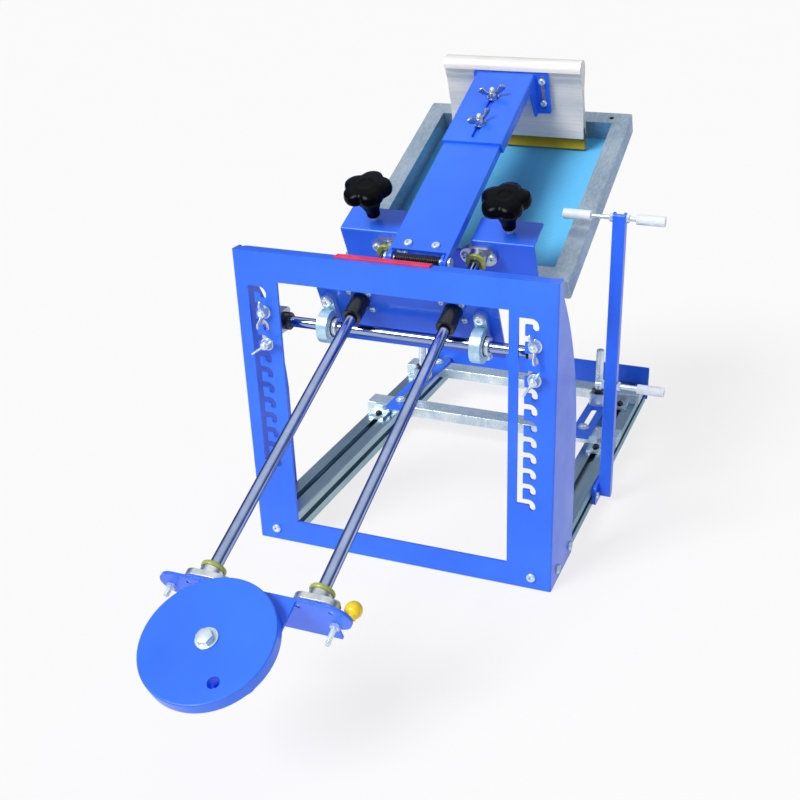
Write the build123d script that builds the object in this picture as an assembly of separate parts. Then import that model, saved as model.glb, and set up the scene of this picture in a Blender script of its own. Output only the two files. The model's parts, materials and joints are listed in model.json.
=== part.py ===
from build123d import *
from math import cos, radians, sin, tan
import os

# Driving dimensions, in millimetres. The frame's origin is the middle of the front
# frame's lower front edge: +X to the right, +Y to the back, +Z up from the bench.

# Shared stock and fits
sheet = 3.0  # painted sheet steel
run_fit = 0.03  # radial clearance of a shaft in its bearing
drill_fit = 0.15  # radial clearance of a screw in its hole
air = 0.3  # between faces that pass each other

# Front frame
frame_width = 366.0
frame_height = 360.0
stile_width = 52.0  # from the frame's side to the window
window_sill = 29.0
window_head = 32.5
top_flange_depth = 16.5
top_flange_chamfer = 9.0
side_depth = 89.0
side_shoulder = 160.0  # height where the side flange starts to narrow
side_tip_depth = 18.5
side_tip_drop = 20.0
side_bulge = 15.0
bend_radius = 2.5
face_bolt_length = 14.0
side_bolt_y = (26.0, 77.0)

# Height ladders: a slot with hooked pockets on each side of the window
pocket_count = 12
pocket_pitch = 18.8
pocket_width = 7.0
pocket_drop = 6.3  # from the branch's middle down to the pocket's seat
pocket_turn = 5.0  # radius of the hook's bend
pocket_reach = 14.6  # from the slot's middle to the pocket's middle
pocket_top_drop = 48.9  # from the frame's top to the seat of the top pocket
ladder_inset = (34.0, 23.5)  # from the frame's sides to the pockets' middles
stud_pockets = (1, 3)  # pockets that the shaft blocks hang in, counted from the top

# Cross shaft, its blocks and collars
shaft_radius = 6.0
shaft_overhang = 2.0
block_thick = 16.0
block_length = 49.0
block_foot = 7.0
block_hub = 26.0
block_crown = 13.0
block_slit = 1.6
shaft_height = 25.0  # from the block's foot to the shaft
collar_radius = 10.0
collar_length = 8.0
collar_hole_radius = 2.0
stud_radius = 2.9
stud_length = 26.0
stud_tail = 5.0  # of the stud, behind the block
stud_nut = (9.5, 4.0)  # across the flats, height
washer_radius = 7.5
washer_thick = 1.2
wing_turns = (80.0, 35.0, 100.0, 60.0)
wing_hub = (6.0, 7.5)  # radius, height
wing_ear_thick = 2.6
wing_root = (4.6, 3.6, 2.6)  # reach, height and radius of an ear's root
wing_tip = (11.5, 11.0, 4.4)  # and of its tip

# Base rails and what stands on them
rail_width = 40.0
rail_height = 30.0
rail_length = 535.0
rail_core_radius = 3.5
slot_mouth = 8.0
slot_lip = 2.2
slot_inner = 14.0
slot_depth = 8.0
bar_depth = 28.0
bar_height = 14.4
bar_overhang = 1.5  # beyond the frame's sides
rear_bar_inset = 66.0  # from the rails' ends to the rear bar's middle
bar_spacing = 146.4
rear_plate_bottom = 4.0
rear_plate_top = 56.0
bracket_width = 22.0
bracket_foot = 26.0
bracket_thick = 4.0
bracket_slot = 9.0
red_strip_length = 108.0
red_strip_width = 11.0
red_strip_thick = 2.0
red_strip_x = -10.0
red_strip_y = 6.0

# Slotted slides with their guide posts
slide_x = (-136.0, 135.5)
slide_width = 27.0
slide_thick = 3.4
slide_front_reach = 30.6  # in front of the front bar's middle
slide_rear_reach = 18.0  # behind the rear bar's middle
slide_slot_width = 8.4
slide_slot_reach = 9.6  # in front of the front bar's middle
slide_slot_length = 72.0
slide_fork_reach = 6.0  # in front of the rear bar's middle
slide_fit = 0.2
slide_bolt_inset = 2.0  # from the slot's round end
slide_washer_radius = 8.0
post_setback = 66.0  # in front of the rear bar's middle
post_radius = 5.5
post_neck_radius = 5.0
post_nut = (17.0, 5.0)  # across the flats, height
post_top_z = 131.0
post_block = 22.0
post_block_height = 18.0
wing_screw_x = 74.0
wing_screw_setback = 6.0  # behind the rear bar's middle
wing_screw_height = 26.0
wing_screw_gap = 18.0  # from the bar to the wing nut
lock_nut = (10.0, 5.0)  # across the flats, height

# Stop post with its rollers
stop_y = 218.0
stop_depth = 12.0
stop_width = 15.0
stop_wall = 2.5
stop_bottom_z = 8.0
stop_rise = 104.5  # from the cross shaft to the post's top
stop_foot_thick = 5.0
stop_foot_width = 40.0
stop_screw_inset = 6.0
stop_nut_height = 4.0
stop_pin_drop = 6.5  # from the post's top
stop_pin_radius = 2.6
stop_pin_reach = 59.0  # beyond the post on its inner side
stop_pin_outer = 45.0
grip_pin_z = 163.0
grip_pin_radius = 3.4
grip_pin_inner = 12.0
grip_pin_outer = 58.0
roller_radius = 6.0
roller_length = 33.0

# Carriage that tilts on the cross shaft
tilt = 24.4
carriage_x = 5.0
carriage_width = 209.0
carriage_bottom = -36.0
carriage_top = 47.0
carriage_face = 19.0  # from the shaft to the plate's front
pillow_x = (-87.0, 90.0)
pillow_width = 12.0
pillow_lug_width = 14.0
pillow_ring = 19.0
pillow_length = 67.0
pillow_foot = 7.0
pillow_bolt_spacing = 53.0
pillow_bolt_tail = 3.0  # behind the plate
insert_radius = 13.0
insert_collar_radius = 10.0
insert_collar = 6.0

# Rods in their linear bearings
rod_radius = 6.0
rod_spacing = 107.0
rod_rise = 27.2
rod_front = -347.0
bearing_radius = 10.5
bearing_length = 37.0
bearing_flange = 32.0
bearing_flange_thick = 6.0
bearing_screw_square = 22.6
bearing_mouth = (7.6, 1.2)  # radius and depth of the recess in the bush's end
support_length = 43.0
support_width = 24.0
support_flange = 6.0
support_hub_radius = 10.5
support_height = 13.0
support_bolt_spacing = 32.0
support_bolt_tail = 2.0
bumper_radius = 12.0
bumper_thick = 4.0

# Screen clamp, screen frame and star knobs
clamp_x = 7.0
clamp_width = 231.0
clamp_wall = 2.5
clamp_face = 112.0
clamp_ear_depth = 40.0
clamp_top = 45.0
clamp_notch_width = 82.0
clamp_notch_floor = 30.0
clamp_lip_depth = 30.0
screen_x = 19.0
screen_width = 276.0
screen_length = 325.0
screen_bar = 22.0
screen_height = 25.0
screen_wall = 1.8
screen_top = -4.0
screen_corner = 3.0
mesh_thick = 1.0
mesh_margin = 4.0
knob_x = (-73.0, 89.5)
knob_v = 132.5
knob_head_radius = 29.0
knob_lobe_radius = 12.0
knob_valley_radius = 5.0
knob_head = 14.0
knob_head_middle = 88.0
knob_hub_bottom = 50.5
knob_hub_radius = 7.5
knob_neck_radius = 15.0
knob_stud_radius = 4.0
knob_foot_radius = 8.0
knob_foot = 5.0
knob_stud_bite = 20.0  # into the hub

# Counterweight at the rods' front ends
counter_plate_x = -3.0
counter_plate_width = 188.0
counter_plate_bottom = -17.0
counter_plate_top = 35.0
counter_lobe_radius = 17.0
shelf_x = -4.0
shelf_width = 94.0
shelf_length = 92.0
disc_x = -8.0
disc_v = -406.0
disc_radius = 59.0
disc_thick = 14.0
disc_hole_radius = 5.5
disc_hole_offset = 42.0
disc_hole_turn = -55.0
disc_bolt_radius = 4.0
disc_bolt_head = (13.0, 6.0)  # across the flats, height
disc_washer_radius = 10.0
counter_screws = ((74.0, 8.0, 20.0), (-86.0, 16.0, 12.0))  # X, height and reach in front
counter_screw_radius = 2.5
counter_nut = (8.0, 4.0)  # across the flats, height
buffer_radius = 8.0
buffer_inset = 2.0
buffer_height = 20.0

# Squeegee arm
arm_x = 9.5
pivot_v = 59.0
pivot_w = 57.0
arm_lean = 1.8
arm_width = 69.0
arm_rise = 6.7  # from the pivot to the arm's top
lower_flange = 10.5
upper_flange = 13.0
arm_start = 8.0
arm_length = 292.0
arm_lobe = 8.5
arm_pin_radius = 4.0
spring_radius = 6.5
spring_pitch = 3.6
spring_groove = 1.1
lug_thick = 3.0
upper_start = 193.0
upper_end = 336.0
upper_slot_start = 201.0
upper_slot_end = 291.0
upper_slot_width = 7.0
upper_deepening = 24.0  # length of the end part where the flanges deepen
arm_stud_places = (228.0, 281.0)
tab_reach = (5.0, 17.0)  # beyond the arm's sides, left and right
tab_inset = (17.0, 3.0)  # inside them
tab_slot_offset = (-10.0, 8.5)  # from the sides, outwards
tab_bottom = -44.0
tab_slot_z = (-19.0, -15.0)
tab_slot_length = 45.0
tab_slot_width = 5.4
arm_nut_turns = (55.0, 20.0)
arm_stud_tail = 13.0  # above the upper channel
arm_stud_head = (10.0, 4.0)  # across the flats, height
arm_bolt_spacing = 32.0
arm_bolt_inset = 9.0

# Squeegee
squeegee_x = 16.0
squeegee_width = 178.0
holder_lean = 6.0  # from the arm's square
holder_top = 22.5  # above the pivot's level
holder_bottom = -77.0
holder_head = 22.0
holder_nose = (-3.5, 11.6)  # foremost point of the head, just above the arm
holder_front = ((2.2, -3.0), (2.2, -20.0), (1.8, -44.0), (-2.0, -63.0))
holder_rear = ((11.0, -52.0), (12.0, -20.0), (18.0, -3.0))
holder_lip_front = -4.0
holder_lip_rear = 10.0
blade_front = -1.0
blade_thick = 8.0
blade_tip = -93.7
blade_grip = 12.0
squeegee_screw_spacing = 29.0
squeegee_screw_bite = 8.0

# Screws: radius of the shank, radius of the head, height of the head
frame_screw = (2.9, 5.5, 3.2)
rear_screw = (3.0, 4.0, 2.2)
bracket_screw = (2.5, 4.6, 5.0)
slide_screw = (3.0, 6.0, 3.6)
foot_screw = (2.5, 4.5, 2.6)
pillow_screw = (3.9, 6.5, 4.0)
bearing_screw = (2.0, 3.6, 2.4)
support_screw = (2.5, 4.6, 3.0)
arm_screw = (2.5, 5.0, 3.0)
squeegee_screw = (2.5, 4.6, 3.0)
screw_tail = 2.0  # past the last thing it holds

# Places that follow from the sizes above
front_y = sheet  # back of the front sheet
window_width = frame_width - 2 * stile_width
ladder_x = (ladder_inset[0] - frame_width / 2, frame_width / 2 - ladder_inset[1])
pocket_top_z = frame_height - pocket_top_drop
rail_x = frame_width / 2 - sheet - rail_width / 2
slot_z = rail_height / 2
rail_end_y = front_y + rail_length
shaft_y = front_y + shaft_height
stud_z = [pocket_top_z - n * pocket_pitch for n in stud_pockets]
shaft_z = sum(stud_z) / len(stud_z)
bar_length = frame_width + 2 * bar_overhang
bar_top = rail_height + bar_height
rear_bar_y = rail_end_y - rear_bar_inset
front_bar_y = rear_bar_y - bar_spacing
slide_front_y = front_bar_y - slide_front_reach
slide_rear_y = rear_bar_y + slide_rear_reach
slide_slot_front = front_bar_y - slide_slot_reach
slide_fork_front = rear_bar_y - slide_fork_reach
post_y = rear_bar_y - post_setback
wing_screw_spot = (wing_screw_x, rear_bar_y + wing_screw_setback)
slide_bottom = bar_top + slide_fit
slide_top = slide_bottom + slide_thick
slide_bolt_y = slide_slot_front + slide_slot_width / 2 + slide_bolt_inset
stop_top_z = shaft_z + stop_rise
stop_pin_z = stop_top_z - stop_pin_drop
stop_x = frame_width / 2 - sheet + stop_foot_thick
rod_x = [carriage_x - rod_spacing / 2, carriage_x + rod_spacing / 2]
plate_back = carriage_face + sheet
knob_seat = screen_top + air
screen_front = clamp_face + clamp_wall
screen_bottom = screen_top - screen_height
upper_inner = arm_width + 2 * air
upper_width = upper_inner + 2 * sheet

on_carriage = Pos(0, shaft_y, shaft_z) * Rot(tilt, 0, 0)
on_arm = on_carriage * Pos(0, pivot_v, pivot_w) * Rot(arm_lean, 0, 0)
to_holder = Pos(0, upper_end, 0) * Rot(-holder_lean, 0, 0)
on_holder = on_arm * to_holder

to_front = Rot(90, 0, 0)
to_back = Rot(-90, 0, 0)
to_right = Rot(0, 90, 0)
to_left = Rot(0, -90, 0)
BASE = (Align.CENTER, Align.CENTER, Align.MIN)


# Helpers

def box(x0, x1, y0, y1, z0, z1):
    """A block between two corners."""
    return Pos((x0 + x1) / 2, (y0 + y1) / 2, (z0 + z1) / 2) * Box(x1 - x0, y1 - y0, z1 - z0)


def along_x(face, x0, x1):
    """A profile drawn in Y and Z, carried from x0 to x1."""
    return extrude(Plane.YZ.offset(x0) * face, x1 - x0, dir=(1, 0, 0))


def along_y(face, y0, y1):
    """A profile drawn in X and Z, carried from y0 to y1."""
    return extrude(Plane.XZ.offset(-y0) * face, y1 - y0, dir=(0, 1, 0))


def along_z(face, z0, z1):
    """A profile drawn in X and Y, carried from z0 to z1."""
    return extrude(Plane.XY.offset(z0) * face, z1 - z0, dir=(0, 0, 1))


def peg(radius, length):
    """A round bar standing on its own origin."""
    return Cylinder(radius, length, align=BASE)


def rod_along_x(x0, x1, y, z, radius):
    return Pos(x0, y, z) * to_right * peg(radius, x1 - x0)


def drill(radius, depth):
    """A drill that comes from above and goes depth below its origin."""
    return Pos(0, 0, -depth) * peg(radius, depth + 1)


def screw_hole(screw, depth):
    """A clearance hole for a screw, down from its origin."""
    return drill(screw[0] + drill_fit, depth)


def button_screw(screw, length):
    """A domed socket screw: its head stands on the origin and its shank hangs below."""
    radius, head_radius, head_height = screw
    head = peg(head_radius, head_height)
    head = fillet(head.edges().sort_by(Axis.Z)[-1], head_height * 0.7)
    key = extrude(RegularPolygon(head_radius * 0.42, 6), head_height)
    head -= Pos(0, 0, head_height * 0.45) * key
    return head + Pos(0, 0, -length) * peg(radius, length)


def hex_nut(size, bore):
    across, height = size
    nut = extrude(RegularPolygon(across / 2, 6, major_radius=False), height)
    return nut - Pos(0, 0, -1) * peg(bore, height + 2)


def ring(outer, inner, height):
    return peg(outer, height) - Pos(0, 0, -1) * peg(inner, height + 2)


def wing_nut(bore):
    """A wing nut on its origin: a tapered hub with two ears that rise outwards."""
    hub_radius, hub_height = wing_hub
    nut = Cone(hub_radius, hub_radius * 0.78, hub_height, align=BASE)
    for side in (-1, 1):
        ends = [Pos(side * reach, up) * Circle(radius) for reach, up, radius in (wing_root, wing_tip)]
        ear = make_hull((ends[0] + ends[1]).edges())
        nut += along_y(ear, -wing_ear_thick / 2, wing_ear_thick / 2)
    return nut - Pos(0, 0, -1) * peg(bore, hub_height + 3)


def slot_tool(length, width, height):
    """A cutter for a slot along X, centred on its origin."""
    return extrude(SlotOverall(length, width), height / 2, both=True)


# Front frame and base

def pocket_outline():
    """One hooked pocket, from the slot's middle to the seat at the origin."""
    top = pocket_drop
    path = Line((-pocket_reach, top), (-pocket_turn, top))
    path += ThreePointArc(
        (-pocket_turn, top),
        (-pocket_turn * (1 - sin(radians(45))), top - pocket_turn * (1 - cos(radians(45)))),
        (0, top - pocket_turn),
    )
    path += Line((0, top - pocket_turn), (0, 0))
    return trace(path, pocket_width) + Circle(pocket_width / 2)


def ladder_outline(x):
    """The long slot with all its pockets, for one side of the window."""
    last = pocket_top_z - (pocket_count - 1) * pocket_pitch
    low = last + pocket_drop - pocket_width / 2
    high = pocket_top_z + pocket_drop + pocket_width / 2
    slot = Pos(x - pocket_reach, (low + high) / 2) * Rectangle(pocket_width, high - low)
    for n in range(pocket_count):
        slot += Pos(x, pocket_top_z - n * pocket_pitch) * pocket_outline()
    return slot


def side_flange():
    """The outline of a side flange, in Y and Z."""
    low = (side_depth, side_shoulder)
    high = (side_tip_depth, frame_height - side_tip_drop)
    outline = Line((0, 0), (side_depth, 0)) + Line((side_depth, 0), low)
    outline += SagittaArc(low, high, -side_bulge)
    outline += Polyline(high, (top_flange_depth, frame_height), (0, frame_height), (0, 0))
    return make_face(outline)


def front_frame():
    face = Pos(0, frame_height / 2) * Rectangle(frame_width, frame_height)
    window_height = frame_height - window_sill - window_head
    face -= Pos(0, window_sill + window_height / 2) * Rectangle(window_width, window_height)
    for x in ladder_x:
        face -= ladder_outline(x)
    frame = along_y(face, 0, sheet)
    half = frame_width / 2
    frame += along_x(side_flange(), -half, sheet - half)
    frame += along_x(side_flange(), half - sheet, half)
    top = box(-half, half, 0, top_flange_depth, frame_height - sheet, frame_height)
    corner = top.edges().filter_by(Axis.Z).group_by(Axis.Y)[-1].sort_by(Axis.X)[0]
    frame += chamfer(corner, top_flange_chamfer)
    upright = frame.edges().filter_by(Axis.Z).group_by(Axis.Y)[0]
    upright = upright.filter_by(lambda e: abs(abs(e.center().X) - half) < 0.01)
    frame = fillet(upright, bend_radius)
    for place in face_bolt_places() + side_bolt_places():
        frame -= place * screw_hole(frame_screw, sheet + 1)
    return frame


def face_bolt_places():
    return [Pos(side * rail_x, 0, slot_z) * to_front for side in (-1, 1)]


def side_bolt_places():
    half = frame_width / 2
    places = []
    for y in side_bolt_y:
        places.append(Pos(-half, y, slot_z) * to_left)
        places.append(Pos(half, y, slot_z) * to_right)
    return places


def frame_bolts():
    side_length = sheet + slot_depth - screw_tail
    face_screws = [p * button_screw(frame_screw, face_bolt_length) for p in face_bolt_places()]
    side_screws = [p * button_screw(frame_screw, side_length) for p in side_bolt_places()]
    return face_screws + side_screws


def tee_slot():
    """A tee slot cut down from the origin, in the rail's own section."""
    inner_height = slot_depth - slot_lip
    slot = Pos(0, -slot_depth / 2) * Rectangle(slot_mouth, slot_depth)
    return slot + Pos(0, -slot_lip - inner_height / 2) * Rectangle(slot_inner, inner_height)


def base_rails():
    section = RectangleRounded(rail_width, rail_height, 1.2)
    for turn, reach in ((0, rail_height), (90, rail_width), (180, rail_height), (270, rail_width)):
        section -= Rot(0, 0, turn) * Pos(0, reach / 2) * tee_slot()
    section -= Circle(rail_core_radius)
    rail = along_y(Pos(0, slot_z) * section, front_y, rail_end_y)
    return [Pos(side * rail_x, 0, 0) * rail for side in (-1, 1)]


def rear_plate():
    half = frame_width / 2
    height = rear_plate_top - rear_plate_bottom
    face = Pos(0, rear_plate_bottom + height / 2) * RectangleRounded(frame_width, height, 2)
    plate = along_y(face, rail_end_y, rail_end_y + sheet)
    for place in rear_screw_places():
        plate -= place * screw_hole(rear_screw, sheet + 1)
    return plate


def rear_screw_places():
    y = rail_end_y + sheet
    return [Pos(side * rail_x, y, slot_z) * to_back for side in (-1, 1)]


def rear_screws():
    length = sheet + slot_depth
    return [p * button_screw(rear_screw, length) for p in rear_screw_places()]


def cross_bar(y):
    section = RectangleRounded(bar_depth, bar_height, 0.8)
    return along_x(Pos(y, rail_height + bar_height / 2) * section, -bar_length / 2, bar_length / 2)


def cross_bars():
    bars = [cross_bar(y) for y in (front_bar_y, rear_bar_y)]
    for hole in bar_holes():
        bars = [bar - hole for bar in bars]
    return bars


def rail_brackets():
    """Zinc angles on the rails, in front of each bar."""
    brackets = []
    for bar_y in (front_bar_y, rear_bar_y):
        for side in (-1, 1):
            x, back = side * rail_x, bar_y - bar_depth / 2
            foot = box(x - bracket_width / 2, x + bracket_width / 2,
                       back - bracket_foot, back, rail_height, rail_height + bracket_thick)
            upright = box(x - bracket_width / 2, x + bracket_width / 2,
                          back - bracket_thick, back, rail_height, bar_top)
            angle = foot + upright
            angle -= bracket_foot_place(x, bar_y) * Rot(0, 0, 90) * slot_tool(
                bracket_slot + 2 * bracket_screw[0], 2 * (bracket_screw[0] + drill_fit), 3 * bracket_thick)
            brackets.append(angle)
    return brackets


def bracket_foot_place(x, bar_y):
    y = bar_y - bar_depth / 2 - bracket_thick - (bracket_foot - bracket_thick) / 2
    return Pos(x, y, rail_height + bracket_thick)


def bracket_screws():
    """Socket screws that hold the angles down in the rails' top slots."""
    screw = button_screw(bracket_screw, bracket_thick + slot_lip + screw_tail)
    return [
        bracket_foot_place(side * rail_x, bar_y) * screw
        for bar_y in (front_bar_y, rear_bar_y) for side in (-1, 1)
    ]


# Cross shaft

def shaft_block(x):
    """A clamp block on the back of the front sheet, with the shaft in its hub."""
    foot = box(x - block_thick / 2, x + block_thick / 2, front_y, front_y + block_foot,
               shaft_z - block_length / 2, shaft_z + block_length / 2)
    hub = box(x - block_thick / 2, x + block_thick / 2, front_y, shaft_y + block_crown,
              shaft_z - block_hub / 2, shaft_z + block_hub / 2)
    hub = chamfer(hub.edges().filter_by(Axis.X).group_by(Axis.Y)[-1], 3)
    block = foot + hub
    block -= rod_along_x(x - block_thick, x + block_thick, shaft_y, shaft_z, shaft_radius)
    block -= box(x - block_thick, x + block_thick, shaft_y, shaft_y + 2 * block_crown,
                 shaft_z - block_slit / 2, shaft_z + block_slit / 2)
    for z in stud_z:
        block -= Pos(x, front_y + block_foot, z) * to_back * drill(stud_radius + drill_fit, block_foot + 1)
    return block


def shaft_blocks():
    return [shaft_block(x) for x in ladder_x]


def cross_shaft():
    low = ladder_x[0] - block_thick / 2 - shaft_overhang
    high = ladder_x[1] + block_thick / 2 + shaft_overhang
    shaft = rod_along_x(low, high, shaft_y, shaft_z, shaft_radius)
    return chamfer(shaft.edges().filter_by(GeomType.CIRCLE), 0.8)


def collar_starts():
    return (ladder_x[0] + block_thick / 2, ladder_x[1] - block_thick / 2 - collar_length)


def shaft_collars():
    collars = []
    for x in collar_starts():
        collar = Pos(x, shaft_y, shaft_z) * to_right * ring(collar_radius, shaft_radius, collar_length)
        collar = chamfer(collar.edges().filter_by(GeomType.CIRCLE).group_by(SortBy.RADIUS)[-1], 0.8)
        place = Pos(x + collar_length / 2, shaft_y, shaft_z + collar_radius)
        collars.append(collar - place * drill(collar_hole_radius, collar_radius - shaft_radius))
    return collars


def stud_places():
    return [Pos(x, 0, z) * to_front for x in ladder_x for z in stud_z]


def height_studs():
    """Studs through the pockets, each with a washer in front and a nut behind the block."""
    pieces = []
    back = sheet + block_foot
    for place in stud_places():
        pieces.append(place * Pos(0, 0, -back - stud_tail) * peg(stud_radius, stud_length))
        pieces.append(place * Pos(0, 0, -back - stud_nut[1]) * hex_nut(stud_nut, stud_radius + run_fit))
        pieces.append(place * ring(washer_radius, stud_radius + drill_fit, washer_thick))
    return pieces


def height_wing_nuts():
    return [
        place * Pos(0, 0, washer_thick) * Rot(0, 0, turn) * wing_nut(stud_radius + run_fit)
        for place, turn in zip(stud_places(), wing_turns)
    ]


def red_strip():
    z = frame_height
    strip = box(red_strip_x - red_strip_length / 2, red_strip_x + red_strip_length / 2,
                red_strip_y, red_strip_y + red_strip_width - 1, z, z + red_strip_thick)
    return fillet(strip.edges().group_by(Axis.Z)[-1], 0.6)


# Slides and posts behind the frame

def slide_plate(x):
    """A slide with a long slot in front and a fork behind."""
    middle = (slide_front_y + slide_rear_y) / 2
    face = Pos(x, middle) * RectangleRounded(slide_width, slide_rear_y - slide_front_y, 3)
    slot_middle = slide_slot_front + slide_slot_length / 2
    face -= Pos(x, slot_middle) * SlotOverall(slide_slot_length, slide_slot_width, rotation=90)
    fork_length = slide_rear_y - slide_fork_front
    face -= Pos(x, slide_fork_front + fork_length) * SlotOverall(
        2 * fork_length, slide_slot_width, rotation=90)
    return along_z(face, slide_bottom, slide_top)


def guide_post(x):
    """A round post in a square base block, with a threaded neck for its nut."""
    half = post_block / 2
    block_top = slide_top + post_block_height
    block = box(x - half, x + half, post_y - half, post_y + half, slide_top, block_top)
    block = chamfer(block.edges().filter_by(Axis.Z), 2)
    neck = Pos(x, post_y, block_top) * peg(post_neck_radius, post_nut[1])
    shank = peg(post_radius, post_top_z - block_top - post_nut[1])
    shank = chamfer(shank.edges().filter_by(GeomType.CIRCLE).sort_by(Axis.Z)[-1], 1)
    return block + neck + Pos(x, post_y, block_top + post_nut[1]) * shank


def post_lock(x):
    place = Pos(x, post_y, slide_top + post_block_height)
    return place * hex_nut(post_nut, post_neck_radius + run_fit)


def slide_bolts():
    """Domed bolts that clamp the slides to the cross bars, each on a washer."""
    washer = ring(slide_washer_radius, slide_screw[0] + drill_fit, washer_thick)
    reach = washer_thick + slide_thick + 2 * slide_fit
    bolt = Pos(0, 0, washer_thick) * button_screw(slide_screw, reach + bar_height / 2)
    places = [Pos(x, y, slide_top + slide_fit) for x, y in slide_bolt_spots()]
    return [place * piece for place in places for piece in (washer, bolt)]


def slide_bolt_spots():
    return [(x, y) for x in slide_x for y in (slide_bolt_y, rear_bar_y)]


def bar_holes():
    """The holes that the slide bolts and the wing screw go into."""
    hole = screw_hole(slide_screw, bar_height / 2 + 1)
    return [Pos(x, y, bar_top) * hole for x, y in slide_bolt_spots() + [wing_screw_spot]]


def rear_wing_screw():
    """A wing screw with its locknut, in the rear bar."""
    place = Pos(*wing_screw_spot, bar_top)
    radius = slide_screw[0]
    stud = Pos(0, 0, -bar_height / 2) * peg(radius, bar_height / 2 + wing_screw_height)
    wing = Pos(0, 0, wing_screw_gap) * Rot(0, 0, 25) * wing_nut(radius + run_fit)
    return [place * piece for piece in (stud, hex_nut(lock_nut, radius + run_fit), wing)]


# Stop post

def stop_post():
    """A folded channel on the right rail's side, rounded at both ends."""
    low, high = stop_bottom_z, stop_top_z
    half = stop_depth / 2
    channel = box(stop_x, stop_x + stop_width, stop_y - half, stop_y + half, low, high)
    channel -= box(stop_x + stop_wall, stop_x + stop_width - stop_wall,
                   stop_y - half + stop_wall, stop_y + half + 1, low - 1, high + 1)
    channel = fillet(channel.edges().filter_by(Axis.Z).group_by(Axis.Y)[0], 1.5)
    rounded = Pos(stop_y, (low + high) / 2) * RectangleRounded(stop_depth, high - low, half - 0.5)
    channel &= along_x(rounded, stop_x - 1, stop_x + stop_width + 1)
    foot_face = Pos(stop_y, slot_z) * RectangleRounded(stop_foot_width, rail_height - 4, 4)
    channel += along_x(foot_face, stop_x - stop_foot_thick, stop_x)
    pins = ((stop_pin_z, stop_pin_radius), (grip_pin_z, grip_pin_radius))
    for z, radius in pins:
        channel -= rod_along_x(stop_x - stop_foot_thick - 1, stop_x + stop_width + 1,
                               stop_y, z, radius + drill_fit)
    for place in stop_foot_places():
        channel -= place * screw_hole(foot_screw, stop_foot_thick + 1)
    return channel


def stop_foot_places():
    offset = stop_foot_width / 2 - stop_screw_inset
    return [Pos(stop_x, stop_y + side * offset, slot_z) * to_right for side in (-1, 1)]


def stop_foot_screws():
    length = stop_foot_thick + slot_lip + screw_tail
    return [p * button_screw(foot_screw, length) for p in stop_foot_places()]


def pin_with_nuts(low, high, z, radius):
    """A pin through the post, with a nut on each side."""
    left = Pos(stop_x, stop_y, z) * to_left
    right = Pos(stop_x + stop_width, stop_y, z) * to_right
    nut = hex_nut((2 * radius + 4, stop_nut_height), radius + run_fit)
    return [rod_along_x(low, high, stop_y, z, radius), left * nut, right * nut]


def stop_pins():
    outer = stop_x + stop_width
    upper = pin_with_nuts(stop_x - stop_pin_reach, outer + stop_pin_outer, stop_pin_z, stop_pin_radius)
    lower = pin_with_nuts(stop_x - grip_pin_inner, outer + grip_pin_outer, grip_pin_z, grip_pin_radius)
    return upper + lower


def roller(x0, z, bore):
    """A nylon roller on a pin, with a running bore."""
    tube = Pos(x0, stop_y, z) * to_right * ring(roller_radius, bore + run_fit, roller_length)
    return fillet(tube.edges().filter_by(GeomType.CIRCLE).group_by(SortBy.RADIUS)[-1], 0.8)


def rollers():
    inner_start = stop_x - stop_pin_reach
    outer_start = stop_x + stop_width + stop_pin_outer - roller_length
    grip_start = stop_x + stop_width + grip_pin_outer - roller_length
    return {
        "stop_roller": roller(inner_start, stop_pin_z, stop_pin_radius),
        "handle_roller": roller(outer_start, stop_pin_z, stop_pin_radius),
        "grip_roller": roller(grip_start, grip_pin_z, grip_pin_radius),
    }


# Tilting carriage, drawn with the shaft as origin and the rods along Y

def pillow_block(x):
    """A cast pillow block: a ring on a foot with two rounded lugs."""
    half = pillow_length / 2
    body = Circle(pillow_ring) + Pos(carriage_face / 2, 0) * Rectangle(carriage_face, 1.5 * pillow_ring)
    block = along_x(body, x - pillow_width / 2, x + pillow_width / 2)
    lug = SlotOverall(pillow_length, pillow_lug_width, rotation=90)
    block += along_y(Pos(x, 0) * lug, carriage_face - pillow_foot, carriage_face)
    block -= rod_along_x(x - pillow_width, x + pillow_width, 0, 0, insert_radius)
    for side in (-1, 1):
        block -= pillow_bolt_place(x, side) * screw_hole(pillow_screw, pillow_foot + 1)
    return block


def pillow_bolt_place(x, side):
    return Pos(x, carriage_face - pillow_foot, side * pillow_bolt_spacing / 2) * to_front


def pillow_blocks():
    return [pillow_block(x) for x in pillow_x]


def bearing_inserts():
    """The ball bearings in the pillow blocks, each with its locking collar."""
    inserts = []
    for x in pillow_x:
        low = x - pillow_width / 2
        core = rod_along_x(low - 1, low + pillow_width + 1, 0, 0, insert_radius)
        core += rod_along_x(low + pillow_width, low + pillow_width + insert_collar, 0, 0,
                            insert_collar_radius)
        bore = shaft_radius + run_fit
        inserts.append(core - rod_along_x(low - 5, low + 2 * pillow_width, 0, 0, bore))
    return inserts


def pillow_bolts():
    bolt = button_screw(pillow_screw, pillow_foot + sheet + pillow_bolt_tail)
    return [pillow_bolt_place(x, side) * bolt for x in pillow_x for side in (-1, 1)]


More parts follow.
